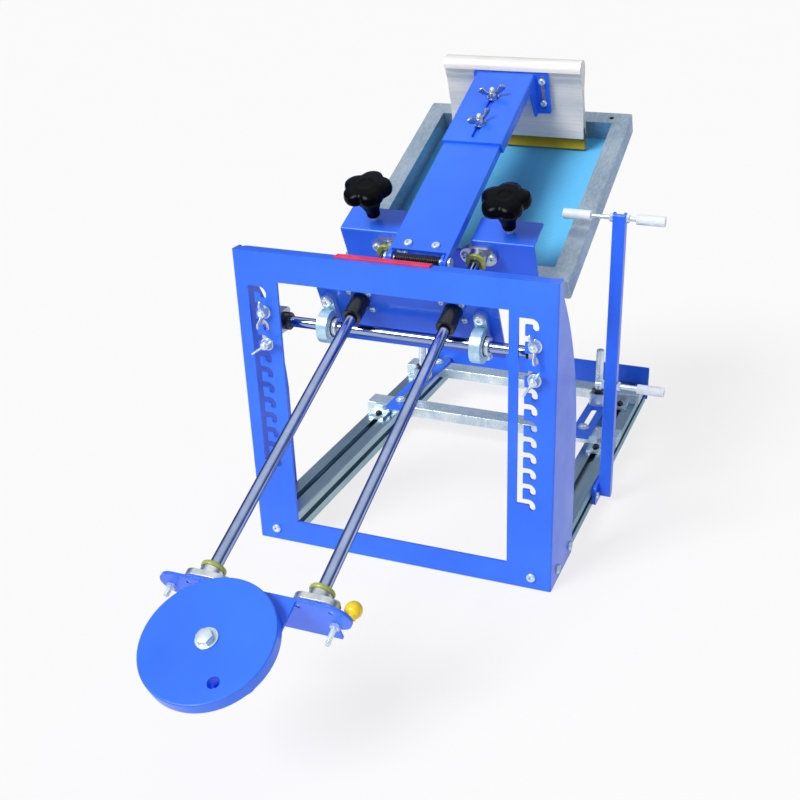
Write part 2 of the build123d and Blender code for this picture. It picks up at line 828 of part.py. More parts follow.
def carriage_plate():
    height = carriage_top - carriage_bottom
    middle = (carriage_top + carriage_bottom) / 2
    face = Pos(carriage_x, middle) * RectangleRounded(carriage_width, height, 3)
    plate = along_y(face, carriage_face, plate_back)
    shelf_half = arm_width / 2 - sheet - 2 * air - lug_thick
    plate += box(arm_x - shelf_half, arm_x + shelf_half, plate_back, pivot_v + arm_lobe,
                 carriage_top - sheet, carriage_top)
    for x in rod_x:
        plate -= Pos(x, carriage_face, rod_rise) * to_front * drill(bearing_radius + drill_fit, sheet + 1)
    for place in bearing_screw_places():
        plate -= place * screw_hole(bearing_screw, sheet + 1)
    for x in pillow_x:
        for side in (-1, 1):
            plate -= pillow_bolt_place(x, side) * screw_hole(pillow_screw, pillow_foot + sheet + 1)
    return plate


def bearing_screw_places():
    half = bearing_screw_square / 2
    return [
        Pos(x + dx, carriage_face, rod_rise + dz) * to_front
        for x in rod_x for dx in (-half, half) for dz in (-half, half)
    ]


def linear_bearings():
    """Flanged ball bushes: the flange lies behind the plate, the barrel passes through it."""
    bearings = []
    for x in rod_x:
        flange = box(x - bearing_flange / 2, x + bearing_flange / 2, plate_back,
                     plate_back + bearing_flange_thick,
                     rod_rise - bearing_flange / 2, rod_rise + bearing_flange / 2)
        flange = fillet(flange.edges().filter_by(Axis.Y), 3)
        place = Pos(x, plate_back + bearing_flange_thick, rod_rise) * to_front
        barrel = peg(bearing_radius, bearing_length)
        barrel = chamfer(barrel.edges().filter_by(GeomType.CIRCLE).sort_by(Axis.Z)[-1], 0.8)
        bush = flange + place * barrel
        bush -= place * Pos(0, 0, -1) * peg(rod_radius + run_fit, bearing_length + 2)
        bush -= place * Pos(0, 0, bearing_length - bearing_mouth[1]) * peg(*bearing_mouth)
        bearings.append(bush)
    for place in bearing_screw_places():
        hole = place * screw_hole(bearing_screw, bearing_length)
        bearings = [bush - hole for bush in bearings]
    return bearings


def bearing_screws():
    length = sheet + bearing_flange_thick
    return [p * button_screw(bearing_screw, length) for p in bearing_screw_places()]


def hinge_lugs():
    """Two ears on the plate's shelf, which the arm's pin passes through."""
    ears = []
    for side in (-1, 1):
        inner = arm_width / 2 - sheet - air - lug_thick
        x0, x1 = sorted((arm_x + side * inner, arm_x + side * (inner + lug_thick)))
        outline = Circle(arm_lobe) + Pos(0, -arm_lobe / 2 - 4) * Rectangle(2 * arm_lobe, arm_lobe + 8)
        ear = along_x(Pos(pivot_v, pivot_w) * outline, x0, x1)
        ear -= rod_along_x(x0 - 1, x1 + 1, pivot_v, pivot_w, arm_pin_radius)
        ears.append(ear)
    return ears


def hinge_pin():
    reach = arm_width / 2 + 1.5
    pin = rod_along_x(arm_x - reach, arm_x + reach, pivot_v, pivot_w, arm_pin_radius)
    for side, turn in ((-1, to_left), (1, to_right)):
        cap = peg(arm_pin_radius + 2, 2)
        pin += Pos(arm_x + side * reach, pivot_v, pivot_w) * turn * cap
    return pin


def arm_spring():
    """The torsion spring on the hinge pin, drawn as a ribbed sleeve."""
    half = arm_width / 2 - sheet - 2 * air - lug_thick
    count = int(2 * half / spring_pitch)
    pitch = 2 * half / count
    crest, root = spring_radius, spring_radius - spring_groove
    points = [(-half, arm_pin_radius + run_fit)]
    for n in range(count):
        start = -half + n * pitch
        points += [(start, root), (start + pitch / 2, crest)]
    points += [(half, root), (half, arm_pin_radius + run_fit)]
    sleeve = revolve(make_face(Polyline(*points, close=True)), Axis.X)
    return Pos(arm_x, pivot_v, pivot_w) * sleeve


# Rods and what they carry, in the carriage's frame

def slide_rods():
    rods = []
    for x in rod_x:
        rod = Pos(x, clamp_face, rod_rise) * to_front * peg(rod_radius, clamp_face - rod_front)
        rods.append(chamfer(rod.edges().filter_by(GeomType.CIRCLE), 0.8))
    return rods


def rod_support(place):
    """A flanged shaft support: an oval flange on its origin, with a hub above."""
    flange = extrude(SlotOverall(support_length, support_width), support_flange)
    support = flange + peg(support_hub_radius, support_height)
    support -= Pos(0, 0, -1) * peg(rod_radius, support_height + 2)
    for side in (-1, 1):
        spot = Pos(side * support_bolt_spacing / 2, 0, support_flange)
        support -= spot * screw_hole(support_screw, support_flange + 1)
    return place * support


def support_places():
    rear = [Pos(x, clamp_face, rod_rise) * to_front for x in rod_x]
    front = [Pos(x, rod_front, rod_rise) * to_back for x in rod_x]
    return rear + front


def rod_supports():
    return [rod_support(place) for place in support_places()]


def support_hole_places(places):
    return [place * Pos(side * support_bolt_spacing / 2, 0, 0) for place in places for side in (-1, 1)]


def support_screws():
    screw = button_screw(support_screw, support_flange + support_bolt_tail)
    return [place * Pos(0, 0, support_flange) * screw for place in support_hole_places(support_places())]


def bumpers():
    """Soft rings on the rods, against the supports."""
    rings = []
    for place in support_places():
        bumper = ring(bumper_radius, rod_radius + 0.1, bumper_thick)
        rings.append(place * Pos(0, 0, support_height) * fillet(
            bumper.edges().filter_by(GeomType.CIRCLE).group_by(SortBy.RADIUS)[-1], 1.2))
    return rings


def screen_clamp():
    """A folded channel that the screen frame slides into, with a notch for the arm."""
    low, high = clamp_x - clamp_width / 2, clamp_x + clamp_width / 2
    back = clamp_face + clamp_ear_depth
    lip_top = screen_bottom - mesh_thick
    channel = box(low, high, clamp_face, clamp_face + clamp_wall, lip_top - clamp_wall, clamp_top)
    channel += box(low, high, clamp_face, back, clamp_top - clamp_wall, clamp_top)
    channel += box(low, high, clamp_face, clamp_face + clamp_lip_depth, lip_top - clamp_wall, lip_top)
    folds = channel.edges().filter_by(Axis.X).group_by(Axis.Y)[0]
    channel = fillet(folds, clamp_wall)
    notch = clamp_notch_width / 2
    channel -= box(arm_x - notch, arm_x + notch, clamp_face - 1, back + 1,
                   clamp_notch_floor, clamp_top + 1)
    for x in knob_x:
        channel -= Pos(x, knob_v, clamp_top) * drill(knob_stud_radius + drill_fit, clamp_wall + 1)
    for place in support_hole_places(support_places()[:2]):
        channel -= place * screw_hole(support_screw, clamp_wall + 1)
    return channel


def screen_frame():
    """A welded rectangle of square alloy tube."""
    middle = screen_front + screen_length / 2
    outer = Pos(screen_x, middle) * RectangleRounded(screen_width, screen_length, screen_corner)
    inner = Pos(screen_x, middle) * Rectangle(screen_width - 2 * screen_bar, screen_length - 2 * screen_bar)
    frame = along_z(outer - inner, screen_bottom, screen_top)
    wall = screen_wall
    core_outer = Pos(screen_x, middle) * Rectangle(screen_width - 2 * wall, screen_length - 2 * wall)
    grow = 2 * (screen_bar - wall)
    core_inner = Pos(screen_x, middle) * Rectangle(screen_width - grow, screen_length - grow)
    frame -= along_z(core_outer - core_inner, screen_bottom + wall, screen_top - wall)
    corner_x = screen_x + screen_width / 2 - screen_bar - 3
    corner_v = screen_front + screen_length - screen_bar / 2
    return frame - Pos(corner_x, corner_v, screen_top) * drill(3.0, wall + 0.5)


def screen_mesh():
    middle = screen_front + screen_length / 2
    face = Rectangle(screen_width - 2 * mesh_margin, screen_length - 2 * mesh_margin)
    return along_z(Pos(screen_x, middle) * face, screen_bottom - mesh_thick, screen_bottom)


def star_knob(x):
    """A five-lobed knob with a tapered hub."""
    lobe_circle = knob_head_radius - knob_lobe_radius
    star = Circle(lobe_circle + 1)
    for lobe in PolarLocations(lobe_circle, 5, start_angle=18):
        star += lobe * Circle(knob_lobe_radius)
    star = fillet(star.vertices(), knob_valley_radius)
    low = knob_head_middle - knob_head / 2
    head = along_z(star, low, low + knob_head)
    head = fillet(head.edges().group_by(Axis.Z)[-1], 3.5)
    hub = Pos(0, 0, knob_hub_bottom) * Cone(
        knob_hub_radius, knob_neck_radius, low - knob_hub_bottom, align=BASE)
    knob = head + hub
    knob -= Pos(0, 0, knob_hub_bottom - 1) * peg(knob_stud_radius, knob_stud_bite + 5)
    return Pos(x, knob_v, 0) * knob


def knob_stud(x):
    """The knob's stud, with the foot that presses on the screen frame."""
    stud = Pos(0, 0, knob_seat) * peg(knob_stud_radius, knob_hub_bottom + knob_stud_bite - knob_seat)
    foot = Pos(0, 0, knob_seat) * peg(knob_foot_radius, knob_foot)
    return Pos(x, knob_v, 0) * (stud + foot)


# Counterweight

def counter_plate():
    """A lobed cross plate with a shelf folded forwards from its top edge."""
    low, high = counter_plate_bottom, counter_plate_top
    middle, half = (low + high) / 2, counter_plate_width / 2
    lobe_z = high - counter_lobe_radius
    waist = Pos(counter_plate_x, middle) * Rectangle(
        counter_plate_width - 2 * counter_lobe_radius, high - low)
    plate = waist
    for side in (-1, 1):
        end = Pos(counter_plate_x + side * (half - counter_lobe_radius), lobe_z)
        plate += end * Circle(counter_lobe_radius)
    face = along_y(plate, rod_front - sheet, rod_front)
    shelf = box(shelf_x - shelf_width / 2, shelf_x + shelf_width / 2,
                rod_front - shelf_length, rod_front, high - sheet, high)
    shelf = fillet(shelf.edges().filter_by(Axis.Z).group_by(Axis.Y)[0], 10)
    body = face + shelf
    body -= Pos(disc_x, disc_v, high) * drill(disc_bolt_radius + drill_fit, sheet + 1)
    for place in support_hole_places(support_places()[2:]):
        body -= place * screw_hole(support_screw, sheet + 1)
    for x, w, _ in counter_screws:
        body -= Pos(x, rod_front - sheet, w) * to_front * drill(counter_screw_radius + drill_fit, sheet + 1)
    return body


def counterweight_disc():
    disc = Pos(disc_x, disc_v, counter_plate_top) * peg(disc_radius, disc_thick)
    disc = fillet(disc.edges().filter_by(GeomType.CIRCLE), 1.5)
    top = Pos(disc_x, disc_v, counter_plate_top + disc_thick)
    disc -= top * drill(disc_bolt_radius + drill_fit, disc_thick + 1)
    hole = top * Rot(0, 0, disc_hole_turn) * Pos(disc_hole_offset, 0, 0)
    return disc - hole * drill(disc_hole_radius, disc_thick + 1)


def counterweight_bolt():
    """A hexagon bolt with its washer above the disc and its nut under the shelf."""
    top = Pos(disc_x, disc_v, counter_plate_top + disc_thick)
    under = Pos(disc_x, disc_v, counter_plate_top - sheet)
    across, height = disc_bolt_head
    reach = disc_thick + sheet + height + 2 * screw_tail
    head = extrude(RegularPolygon(across / 2, 6, major_radius=False), height)
    bolt = Pos(0, 0, washer_thick) * head + Pos(0, 0, -reach) * peg(disc_bolt_radius, reach + height / 2)
    washer = ring(disc_washer_radius, disc_bolt_radius + drill_fit, washer_thick)
    nut = Pos(0, 0, -height) * hex_nut(disc_bolt_head, disc_bolt_radius + run_fit)
    return [top * bolt, top * washer, under * nut]


def plate_screws():
    """Long screws through the cross plate's ends, each with a nut on both faces."""
    pieces = []
    behind = Pos(0, 0, -sheet - counter_nut[1])
    nut = hex_nut(counter_nut, counter_screw_radius + run_fit)
    for x, w, reach in counter_screws:
        place = Pos(x, rod_front - sheet, w) * to_front
        shank = peg(counter_screw_radius, reach + sheet + counter_nut[1])
        pieces += [place * behind * shank, place * nut, place * behind * nut]
    return pieces


def yellow_buffer():
    """A round rubber buffer on the back of the cross plate's right end."""
    x = counter_plate_x + counter_plate_width / 2 - buffer_inset
    return Pos(x, rod_front + buffer_radius, buffer_height) * Sphere(buffer_radius)


# Squeegee arm, drawn with its pivot as origin and the arm along Y

def arm_lower():
    """A channel that opens downwards, with ears round the hinge pin."""
    half = arm_width / 2
    end = arm_start + arm_length
    bottom = arm_rise - lower_flange
    lobe = Circle(arm_lobe)
    cheek = Polygon((0, -arm_lobe), (arm_start + 12, bottom), (end, bottom), (end, arm_rise),
                    (arm_start, arm_rise), (0, arm_lobe), align=None)
    profile = lobe + cheek
    channel = along_x(profile, arm_x - half, arm_x + half)
    channel -= box(arm_x - half + sheet, arm_x + half - sheet, -arm_lobe - 1, end + 1,
                   bottom - 5, arm_rise - sheet)
    channel -= box(arm_x - half + sheet, arm_x + half - sheet, -arm_lobe - 1, arm_start,
                   bottom, arm_lobe + 5)
    channel -= box(arm_x - half - 1, arm_x + half + 1, -arm_lobe - 1, end, arm_rise, arm_rise + 10)
    channel -= rod_along_x(arm_x - half - 1, arm_x + half + 1, 0, 0, arm_pin_radius + run_fit)
    for y in arm_stud_places:
        channel -= Pos(arm_x, y, arm_rise) * drill(stud_radius + drill_fit, sheet + 1)
    for place in arm_bolt_places():
        channel -= place * screw_hole(arm_screw, sheet + 1)
    return channel


def arm_upper():
    """The outer channel: slotted on top, deepened at its end and folded out into two tabs."""
    half = upper_width / 2
    top = arm_rise + air + sheet
    bottom = top - upper_flange
    foot = upper_end + tab_lean(tab_bottom)
    cheek = Polygon((upper_start, bottom), (upper_end - upper_deepening, bottom), (foot - 10, tab_bottom),
                    (foot, tab_bottom), (upper_end, top), (upper_start, top), align=None)
    channel = along_x(cheek, arm_x - half, arm_x + half)
    channel -= box(arm_x - half + sheet, arm_x + half - sheet, upper_start - 1, upper_end + 10,
                   tab_bottom - 1, top - sheet)
    folds = channel.edges().filter_by(Axis.Y).group_by(Axis.Z)[-1]
    channel = fillet(folds, bend_radius)
    middle = (upper_slot_start + upper_slot_end) / 2
    channel -= Pos(arm_x, middle, top) * Rot(0, 0, 90) * slot_tool(
        upper_slot_end - upper_slot_start, upper_slot_width, 4 * sheet)
    height = top - tab_bottom
    for side, reach, inset, slot in zip((-1, 1), tab_reach, tab_inset, tab_slot_places()):
        middle = arm_x + side * (half + (reach - inset) / 2)
        face = Pos(middle, tab_bottom + height / 2) * RectangleRounded(reach + inset, height, 2.5)
        face -= slot * SlotOverall(tab_slot_length, tab_slot_width, rotation=90)
        channel += to_holder * along_y(face, -sheet, 0)
    return channel


def tab_lean(height):
    """How far the tabs' plane leans from the arm's end at a height."""
    return height * tan(radians(holder_lean))


def tab_slot_places():
    """The middles of the two tabs' slots, in the tabs' own plane."""
    return [
        Pos(arm_x + side * (upper_width / 2 + offset), z)
        for side, offset, z in zip((-1, 1), tab_slot_offset, tab_slot_z)
    ]


def arm_studs():
    """Studs that stand in the lower channel and clamp the upper one through its slot."""
    across, height = arm_stud_head
    stud = peg(stud_radius, 2 * sheet + air + arm_stud_tail)
    head = Pos(0, 0, -height) * extrude(RegularPolygon(across / 2, 6, major_radius=False), height)
    return [Pos(arm_x, y, arm_rise - sheet) * piece for y in arm_stud_places for piece in (stud, head)]


def arm_wing_nuts():
    top = arm_rise + 2 * air + sheet
    nuts = []
    for y, turn in zip(arm_stud_places, arm_nut_turns):
        place = Pos(arm_x, y, top)
        nuts.append(place * ring(washer_radius, stud_radius + drill_fit, washer_thick))
        nuts.append(place * Pos(0, 0, washer_thick) * Rot(0, 0, turn) * wing_nut(stud_radius + run_fit))
    return nuts


def arm_bolt_places():
    y = arm_start + arm_bolt_inset
    return [Pos(arm_x + side * arm_bolt_spacing / 2, y, arm_rise) for side in (-1, 1)]


def arm_bolts():
    """Domed bolts on the arm's lower end."""
    length = sheet + screw_tail
    return [place * button_screw(arm_screw, length) for place in arm_bolt_places()]


# Squeegee, drawn with the tabs' back face as the plane Y = 0

def squeegee_holder():
    """An extruded alloy grip: a thick rounded head, a waist and two lips that hold the blade."""
    nose_y, nose_z = holder_nose
    front = Polyline(holder_nose, (0, nose_z), (0, nose_z / 2))
    front += Spline((0, nose_z / 2), *holder_front, (holder_lip_front, holder_bottom),
                    tangents=((0, -1), (-0.1, -1)))
    rear = Spline((holder_lip_rear, holder_bottom), *holder_rear, (holder_head, nose_z),
                  tangents=((0, 1), (0, 1)))
    crown = ThreePointArc((holder_head, nose_z), ((holder_head + nose_y) / 2, holder_top), holder_nose)
    lips = Line((holder_lip_front, holder_bottom), (holder_lip_rear, holder_bottom))
    section = make_face(front + lips + rear + crown)
    section -= Pos(blade_front + blade_thick / 2, holder_bottom) * Rectangle(blade_thick, 2 * blade_grip)
    low, high = squeegee_x - squeegee_width / 2, squeegee_x + squeegee_width / 2
    holder = along_x(Pos(air, 0) * section, low, high)
    for place in squeegee_screw_places():
        holder -= place * screw_hole(squeegee_screw, squeegee_screw_length() + 1)
    return holder


def squeegee_blade():
    """A flat rubber blade, held in the grip's slot."""
    low, high = squeegee_x - squeegee_width / 2, squeegee_x + squeegee_width / 2
    start = blade_front + air
    return box(low, high, start, start + blade_thick, blade_tip, holder_bottom + blade_grip)


def squeegee_screw_places():
    return [
        Pos(0, -sheet - air, 0) * to_front * slot * Pos(0, side * squeegee_screw_spacing / 2)
        for slot in tab_slot_places() for side in (-1, 1)
    ]


def squeegee_screw_length():
    return sheet + 2 * air + squeegee_screw_bite


def squeegee_screws():
    screw = button_screw(squeegee_screw, squeegee_screw_length())
    return [place * screw for place in squeegee_screw_places()]


# Nodes

def save(name, shape, place=None):
    """Write one node; a list of shapes becomes one group of solids."""
    if isinstance(shape, list):
        shape = Compound(children=shape)
    if place is not None:
        shape = place * shape
    export_step(shape, f"parts/{name}.step")


os.makedirs("parts", exist_ok=True)

save("front_frame", front_frame())
save("frame_bolts", frame_bolts())
save("base_rails", base_rails())
save("rear_plate", rear_plate())
save("cross_bars", cross_bars())
save("rail_brackets", rail_brackets())
save("bracket_screws", bracket_screws())
save("cross_shaft", cross_shaft())
save("shaft_blocks", shaft_blocks())
save("shaft_collars", shaft_collars())
save("height_studs", height_studs())
save("height_wing_nuts", height_wing_nuts())
save("red_strip", red_strip())
save("slide_bolts", slide_bolts())
save("rear_wing_screw", rear_wing_screw())
save("stop_post", stop_post())
save("base_screws", rear_screws() + stop_foot_screws())
save("stop_pins", stop_pins())
for name, shape in rollers().items():
    save(name, shape)
for side, x in zip(("left", "right"), slide_x):
    save(f"slide_plate_{side}", slide_plate(x))
    save(f"guide_post_{side}", guide_post(x))
    save(f"post_nut_{side}", post_lock(x))

save("pillow_blocks", pillow_blocks(), on_carriage)
save("bearing_inserts", bearing_inserts(), on_carriage)
save("carriage_screws", pillow_bolts() + bearing_screws(), on_carriage)
save("carriage_plate", carriage_plate(), on_carriage)
save("linear_bearings", linear_bearings(), on_carriage)
save("hinge_lugs", hinge_lugs(), on_carriage)
save("hinge_pin", hinge_pin(), on_carriage)
save("arm_spring", arm_spring(), on_carriage)

save("slide_rods", slide_rods(), on_carriage)
save("rod_supports", rod_supports(), on_carriage)
save("support_screws", support_screws(), on_carriage)
save("bumpers", bumpers(), on_carriage)
save("screen_clamp", screen_clamp(), on_carriage)
save("screen_frame", screen_frame(), on_carriage)
save("screen_mesh", screen_mesh(), on_carriage)
save("counter_plate", counter_plate(), on_carriage)
save("counterweight_disc", counterweight_disc(), on_carriage)
save("counterweight_bolt", counterweight_bolt(), on_carriage)
save("plate_screws", plate_screws(), on_carriage)
save("yellow_buffer", yellow_buffer(), on_carriage)
for side, x in zip(("left", "right"), knob_x):
    save(f"star_knob_{side}", star_knob(x), on_carriage)
    save(f"knob_stud_{side}", knob_stud(x), on_carriage)

save("arm_lower", arm_lower(), on_arm)
save("arm_studs", arm_studs(), on_arm)
save("arm_wing_nuts", arm_wing_nuts(), on_arm)
save("arm_bolts", arm_bolts(), on_arm)
save("arm_upper", arm_upper(), on_arm)
save("squeegee_holder", squeegee_holder(), on_holder)
save("squeegee_blade", squeegee_blade(), on_holder)
save("squeegee_screws", squeegee_screws(), on_holder)
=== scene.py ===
import bpy
import bmesh
import json
import numpy as np
from math import cos, pi, radians, sin
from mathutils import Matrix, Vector


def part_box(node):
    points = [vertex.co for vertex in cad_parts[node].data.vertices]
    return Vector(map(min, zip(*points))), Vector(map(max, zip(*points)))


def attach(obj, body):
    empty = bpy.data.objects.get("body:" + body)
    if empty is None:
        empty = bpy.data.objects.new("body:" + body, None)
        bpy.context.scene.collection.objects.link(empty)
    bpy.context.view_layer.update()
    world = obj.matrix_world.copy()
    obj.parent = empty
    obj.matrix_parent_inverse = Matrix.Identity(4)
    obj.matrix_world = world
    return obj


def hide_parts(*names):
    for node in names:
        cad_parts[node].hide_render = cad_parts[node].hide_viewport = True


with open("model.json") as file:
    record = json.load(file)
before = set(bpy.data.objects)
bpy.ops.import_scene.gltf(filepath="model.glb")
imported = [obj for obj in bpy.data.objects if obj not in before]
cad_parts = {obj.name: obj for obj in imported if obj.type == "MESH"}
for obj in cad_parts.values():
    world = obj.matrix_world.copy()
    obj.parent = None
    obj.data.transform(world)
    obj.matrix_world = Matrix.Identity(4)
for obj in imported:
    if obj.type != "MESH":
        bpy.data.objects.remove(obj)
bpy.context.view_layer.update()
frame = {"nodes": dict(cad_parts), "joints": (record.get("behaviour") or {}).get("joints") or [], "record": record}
nodes = frame["nodes"]
joints = {joint["name"]: joint for joint in frame["joints"]}
print("frame loaded:", len(nodes), "nodes")


def jointPlace(name):
    return np.array(joints[name]["pos_m"])


def jointAxis(name):
    return np.array(joints[name]["axis"], float)


shaftPlace = jointPlace("carriage_tilt")
rodWay = jointAxis("screen_slide")  # along the rods, towards the screen
rodUp = np.array((0.0, -rodWay[2], rodWay[1]))  # square to the rods, upwards
armPivot = jointPlace("arm_lift")
armWay = jointAxis("arm_extend")
armUp = np.array((0.0, -armWay[2], armWay[1]))
across = np.array((1.0, 0.0, 0.0))
frontWay = np.array((0.0, -1.0, 0.0))
upWay = np.array((0.0, 0.0, 1.0))


def solidsOf(node):
    # labels spread over shared corners until each solid has one, all as whole arrays
    mesh = nodes[node].data
    points = np.zeros(len(mesh.vertices) * 3)
    mesh.vertices.foreach_get("co", points)
    points = points.reshape(-1, 3)
    loops = np.zeros(len(mesh.loops), int)
    mesh.loops.foreach_get("vertex_index", loops)
    corners, owner = np.unique(np.round(points, 6), axis=0, return_inverse=True)
    triangles = owner.reshape(-1)[loops].reshape(-1, 3)
    labels = np.arange(len(corners))
    while True:
        lowest = labels[triangles].min(axis=1)
        spread = labels.copy()
        for column in range(3):
            np.minimum.at(spread, triangles[:, column], lowest)
        if np.array_equal(spread, labels):
            break
        labels = spread
    return [corners[labels == label] for label in np.unique(labels)]


def middleOf(points):
    return (points.min(axis=0) + points.max(axis=0)) / 2


def standing(points, axis):
    # foot and length of a round solid along its own axis
    middle = middleOf(points)
    run = points @ axis
    return middle + axis * (run.min() - middle @ axis), np.ptp(run)


def gridFaces(rows, columns, wrapRows, wrapColumns):
    # four corners of each cell of a grid, going round where it wraps
    i = np.arange(rows if wrapRows else rows - 1)[:, None]
    j = np.arange(columns if wrapColumns else columns - 1)[None, :]
    nextI, nextJ = (i + 1) % rows, (j + 1) % columns
    cells = (i * columns + j, i * columns + nextJ, nextI * columns + nextJ, nextI * columns + j)
    return np.stack([c + 0 * (i + j) for c in cells], axis=-1).reshape(-1, 4)


def placed(points, origin, side, ahead, up):
    # local x, y and z carried along three directions from an origin
    points = np.asarray(points, float)
    return origin + points[..., :1] * side + points[..., 1:2] * ahead + points[..., 2:] * up


def squareTo(axis):
    # two directions square to an axis
    axis = axis / np.linalg.norm(axis)
    side = np.cross(axis, upWay if abs(axis[2]) < 0.9 else across)
    side = side / np.linalg.norm(side)
    return side, np.cross(axis, side)


pieceFinish = {"join": 2e-6, "thinnest": 1e-6, "sharp": 35, "sharpCurled": 60, "sharpMoulded": 50}


def makePiece(name, grids, body, material, replaced, sharp=pieceFinish["sharp"]):
    # joins grids of (points, wrapRows, wrapColumns) into one smooth piece that replaces solids
    points, faces, start = [], [], 0
    for grid, wrapRows, wrapColumns in grids:
        rows, columns = grid.shape[:2]
        points.append(grid.reshape(-1, 3))
        faces.append(gridFaces(rows, columns, wrapRows, wrapColumns) + start)
        start += rows * columns
    mesh = bpy.data.meshes.new(name)
    mesh.from_pydata(np.concatenate(points).tolist(), [], np.concatenate(faces).tolist())
    work = bmesh.new()
    work.from_mesh(mesh)
    bmesh.ops.remove_doubles(work, verts=work.verts, dist=pieceFinish["join"])
    bmesh.ops.dissolve_degenerate(work, edges=work.edges, dist=pieceFinish["thinnest"])
    bmesh.ops.recalc_face_normals(work, faces=work.faces)
    work.to_mesh(mesh)
    work.free()
    mesh.shade_smooth()
    mesh.set_sharp_from_angle(angle=radians(sharp))
    piece = bpy.data.objects.new(name, mesh)
    bpy.context.scene.collection.objects.link(piece)
    mesh.materials.append(material)
    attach(piece, body)
    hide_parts(*replaced)
    return piece


def turned(profile, count, origin, axis):
    # a profile of (radius, height) turned once round an axis
    profile = np.asarray(profile, float)
    angle = np.linspace(0, 2 * pi, count, endpoint=False)[:, None]
    side, ahead = squareTo(axis)
    radius, height = profile[None, :, 0], profile[None, :, 1]
    local = np.stack([radius * np.cos(angle), radius * np.sin(angle), height + 0 * angle], axis=-1)
    return placed(local, origin, side, ahead, axis), True, False


longestCut = 0.45  # share of a profile's straight part that one rounded corner may take


def rounded(corners, radius, steps=4):
    # a profile whose inner corners are cut by short quadratic curves
    corners = np.asarray(corners, float)
    out = [corners[:1]]
    for before, corner, after in zip(corners[:-2], corners[1:-1], corners[2:]):
        back, ahead = before - corner, after - corner
        reachBack = min(radius, longestCut * np.linalg.norm(back))
        reachAhead = min(radius, longestCut * np.linalg.norm(ahead))
        start = corner + back / np.linalg.norm(back) * reachBack
        end = corner + ahead / np.linalg.norm(ahead) * reachAhead
        t = np.linspace(0, 1, steps + 1)[:, None]
        out.append((1 - t) ** 2 * start + 2 * t * (1 - t) * corner + t ** 2 * end)
    out.append(corners[-1:])
    return np.concatenate(out)


# depth and endCut are shares of the pitch
thread = {"around": 20, "rowsPerTurn": 6, "fewestRows": 8, "depth": 0.55, "endCut": 0.35}


def threaded(radius, start, end, pitch, origin, axis):
    # a rod whose radius falls by a sharp wave that climbs one pitch a turn
    rows = max(int((end - start) / pitch * thread["rowsPerTurn"]), thread["fewestRows"])
    angle = np.linspace(0, 2 * pi, thread["around"], endpoint=False)[:, None]
    height = np.linspace(start, end, rows)[None, :]
    phase = (height / pitch - angle / (2 * pi)) % 1.0
    wave = np.abs(phase - 0.5) * 2
    taper = np.clip((end - height) / pitch, 0, 1)
    run = radius - thread["depth"] * pitch * wave
    run = run - thread["endCut"] * pitch * (1 - taper)
    side, ahead = squareTo(axis)
    local = np.stack([run * np.cos(angle), run * np.sin(angle), height + 0 * angle], axis=-1)
    first, last = local[:, :1].copy(), local[:, -1:].copy()
    first[..., :2] = 0
    last[..., :2] = 0
    local = np.concatenate([first, local, last], axis=1)
    return placed(local, origin, side, ahead, axis), True, False


hexShape = {"around": 72, "faceCircle": 0.95, "coneSlope": 0.58}  # the circle as a share of the flats


def hexBody(acrossFlats, height, bore, origin, axis, turn=0.0):
    # a hexagon whose corners are cut off by a cone at both ends, with a bore through it
    angle = np.linspace(0, 2 * pi, hexShape["around"], endpoint=False)[:, None]
    half = acrossFlats / 2
    flat = half / np.cos((angle + pi / 6) % (pi / 3) - pi / 6)
    inner = hexShape["faceCircle"] * half
    drop = (flat - inner) * hexShape["coneSlope"]
    low, high = 0 * flat, 0 * flat + height
    columns = [
        (low + bore, low), (low + inner, low), (flat, drop),
        (flat, height - drop), (low + inner, high), (low + bore, high),
    ]
    radius = np.concatenate([c[0] for c in columns], axis=1)
    level = np.concatenate([c[1] for c in columns], axis=1)
    side, ahead = squareTo(axis)
    local = np.stack([radius * np.cos(angle + turn), radius * np.sin(angle + turn), level], axis=-1)
    return placed(local, origin, side, ahead, axis), True, bore > 0


def wingNutGrids(origin, axis, turn, size):
    # a waisted hub turned from a profile, and two ears swept outwards on a bent line
    hub = rounded([
        (size["bore"], 0), (size["hubFoot"], 0), (size["hubWaist"], size["waistHeight"]),
        (size["hubTop"], size["hubHeight"]), (size["bore"], size["hubHeight"]),
    ], size["soft"])
    grid, _, _ = turned(hub, size["hubAround"], origin, axis)
    grids = [(grid, True, True)]
    side, ahead = squareTo(axis)
    earWay = side * cos(turn) + ahead * sin(turn)
    thickWay = np.cross(axis, earWay)
    t = np.linspace(0, 1, size["earRows"])[:, None]
    u = np.linspace(0, 2 * pi, size["earAround"], endpoint=False)[None, :]
    out = size["earStart"] + (size["earReach"] - size["earStart"]) * (1 - (1 - t) ** size["earSweep"])
    rise = size["earLow"] + (size["earHigh"] - size["earLow"]) * t ** size["earClimb"]
    swell = size["earRoot"] + (size["earTip"] - size["earRoot"]) * t
    tip = np.clip((t - size["tipFrom"]) / (1 - size["tipFrom"]), 0, 1)
    cap = np.sqrt(np.clip(1 - tip ** 2, 0, 1))
    half = swell * cap
    thick = size["earThick"] * (1 - size["earThins"] * t) * np.sqrt(cap)
    bend = np.arctan2(np.gradient(rise[:, 0]), np.gradient(out[:, 0]))[:, None]
    wave, lift = np.cos(u), np.sin(u)
    wide = half * np.sign(wave) * np.abs(wave) ** size["earSquare"]
    for way in (-1, 1):
        x = way * (out - wide * np.sin(bend))
        z = rise + wide * np.cos(bend)
        y = thick * lift
        grids.append((placed(np.stack([x, y, z], axis=-1), origin, earWay, thickWay, axis), False, True))
    return grids


def newMaterial(name):
    material = bpy.data.materials.new(name)
    material.use_nodes = True
    return material, material.node_tree, material.node_tree.nodes["Principled BSDF"]


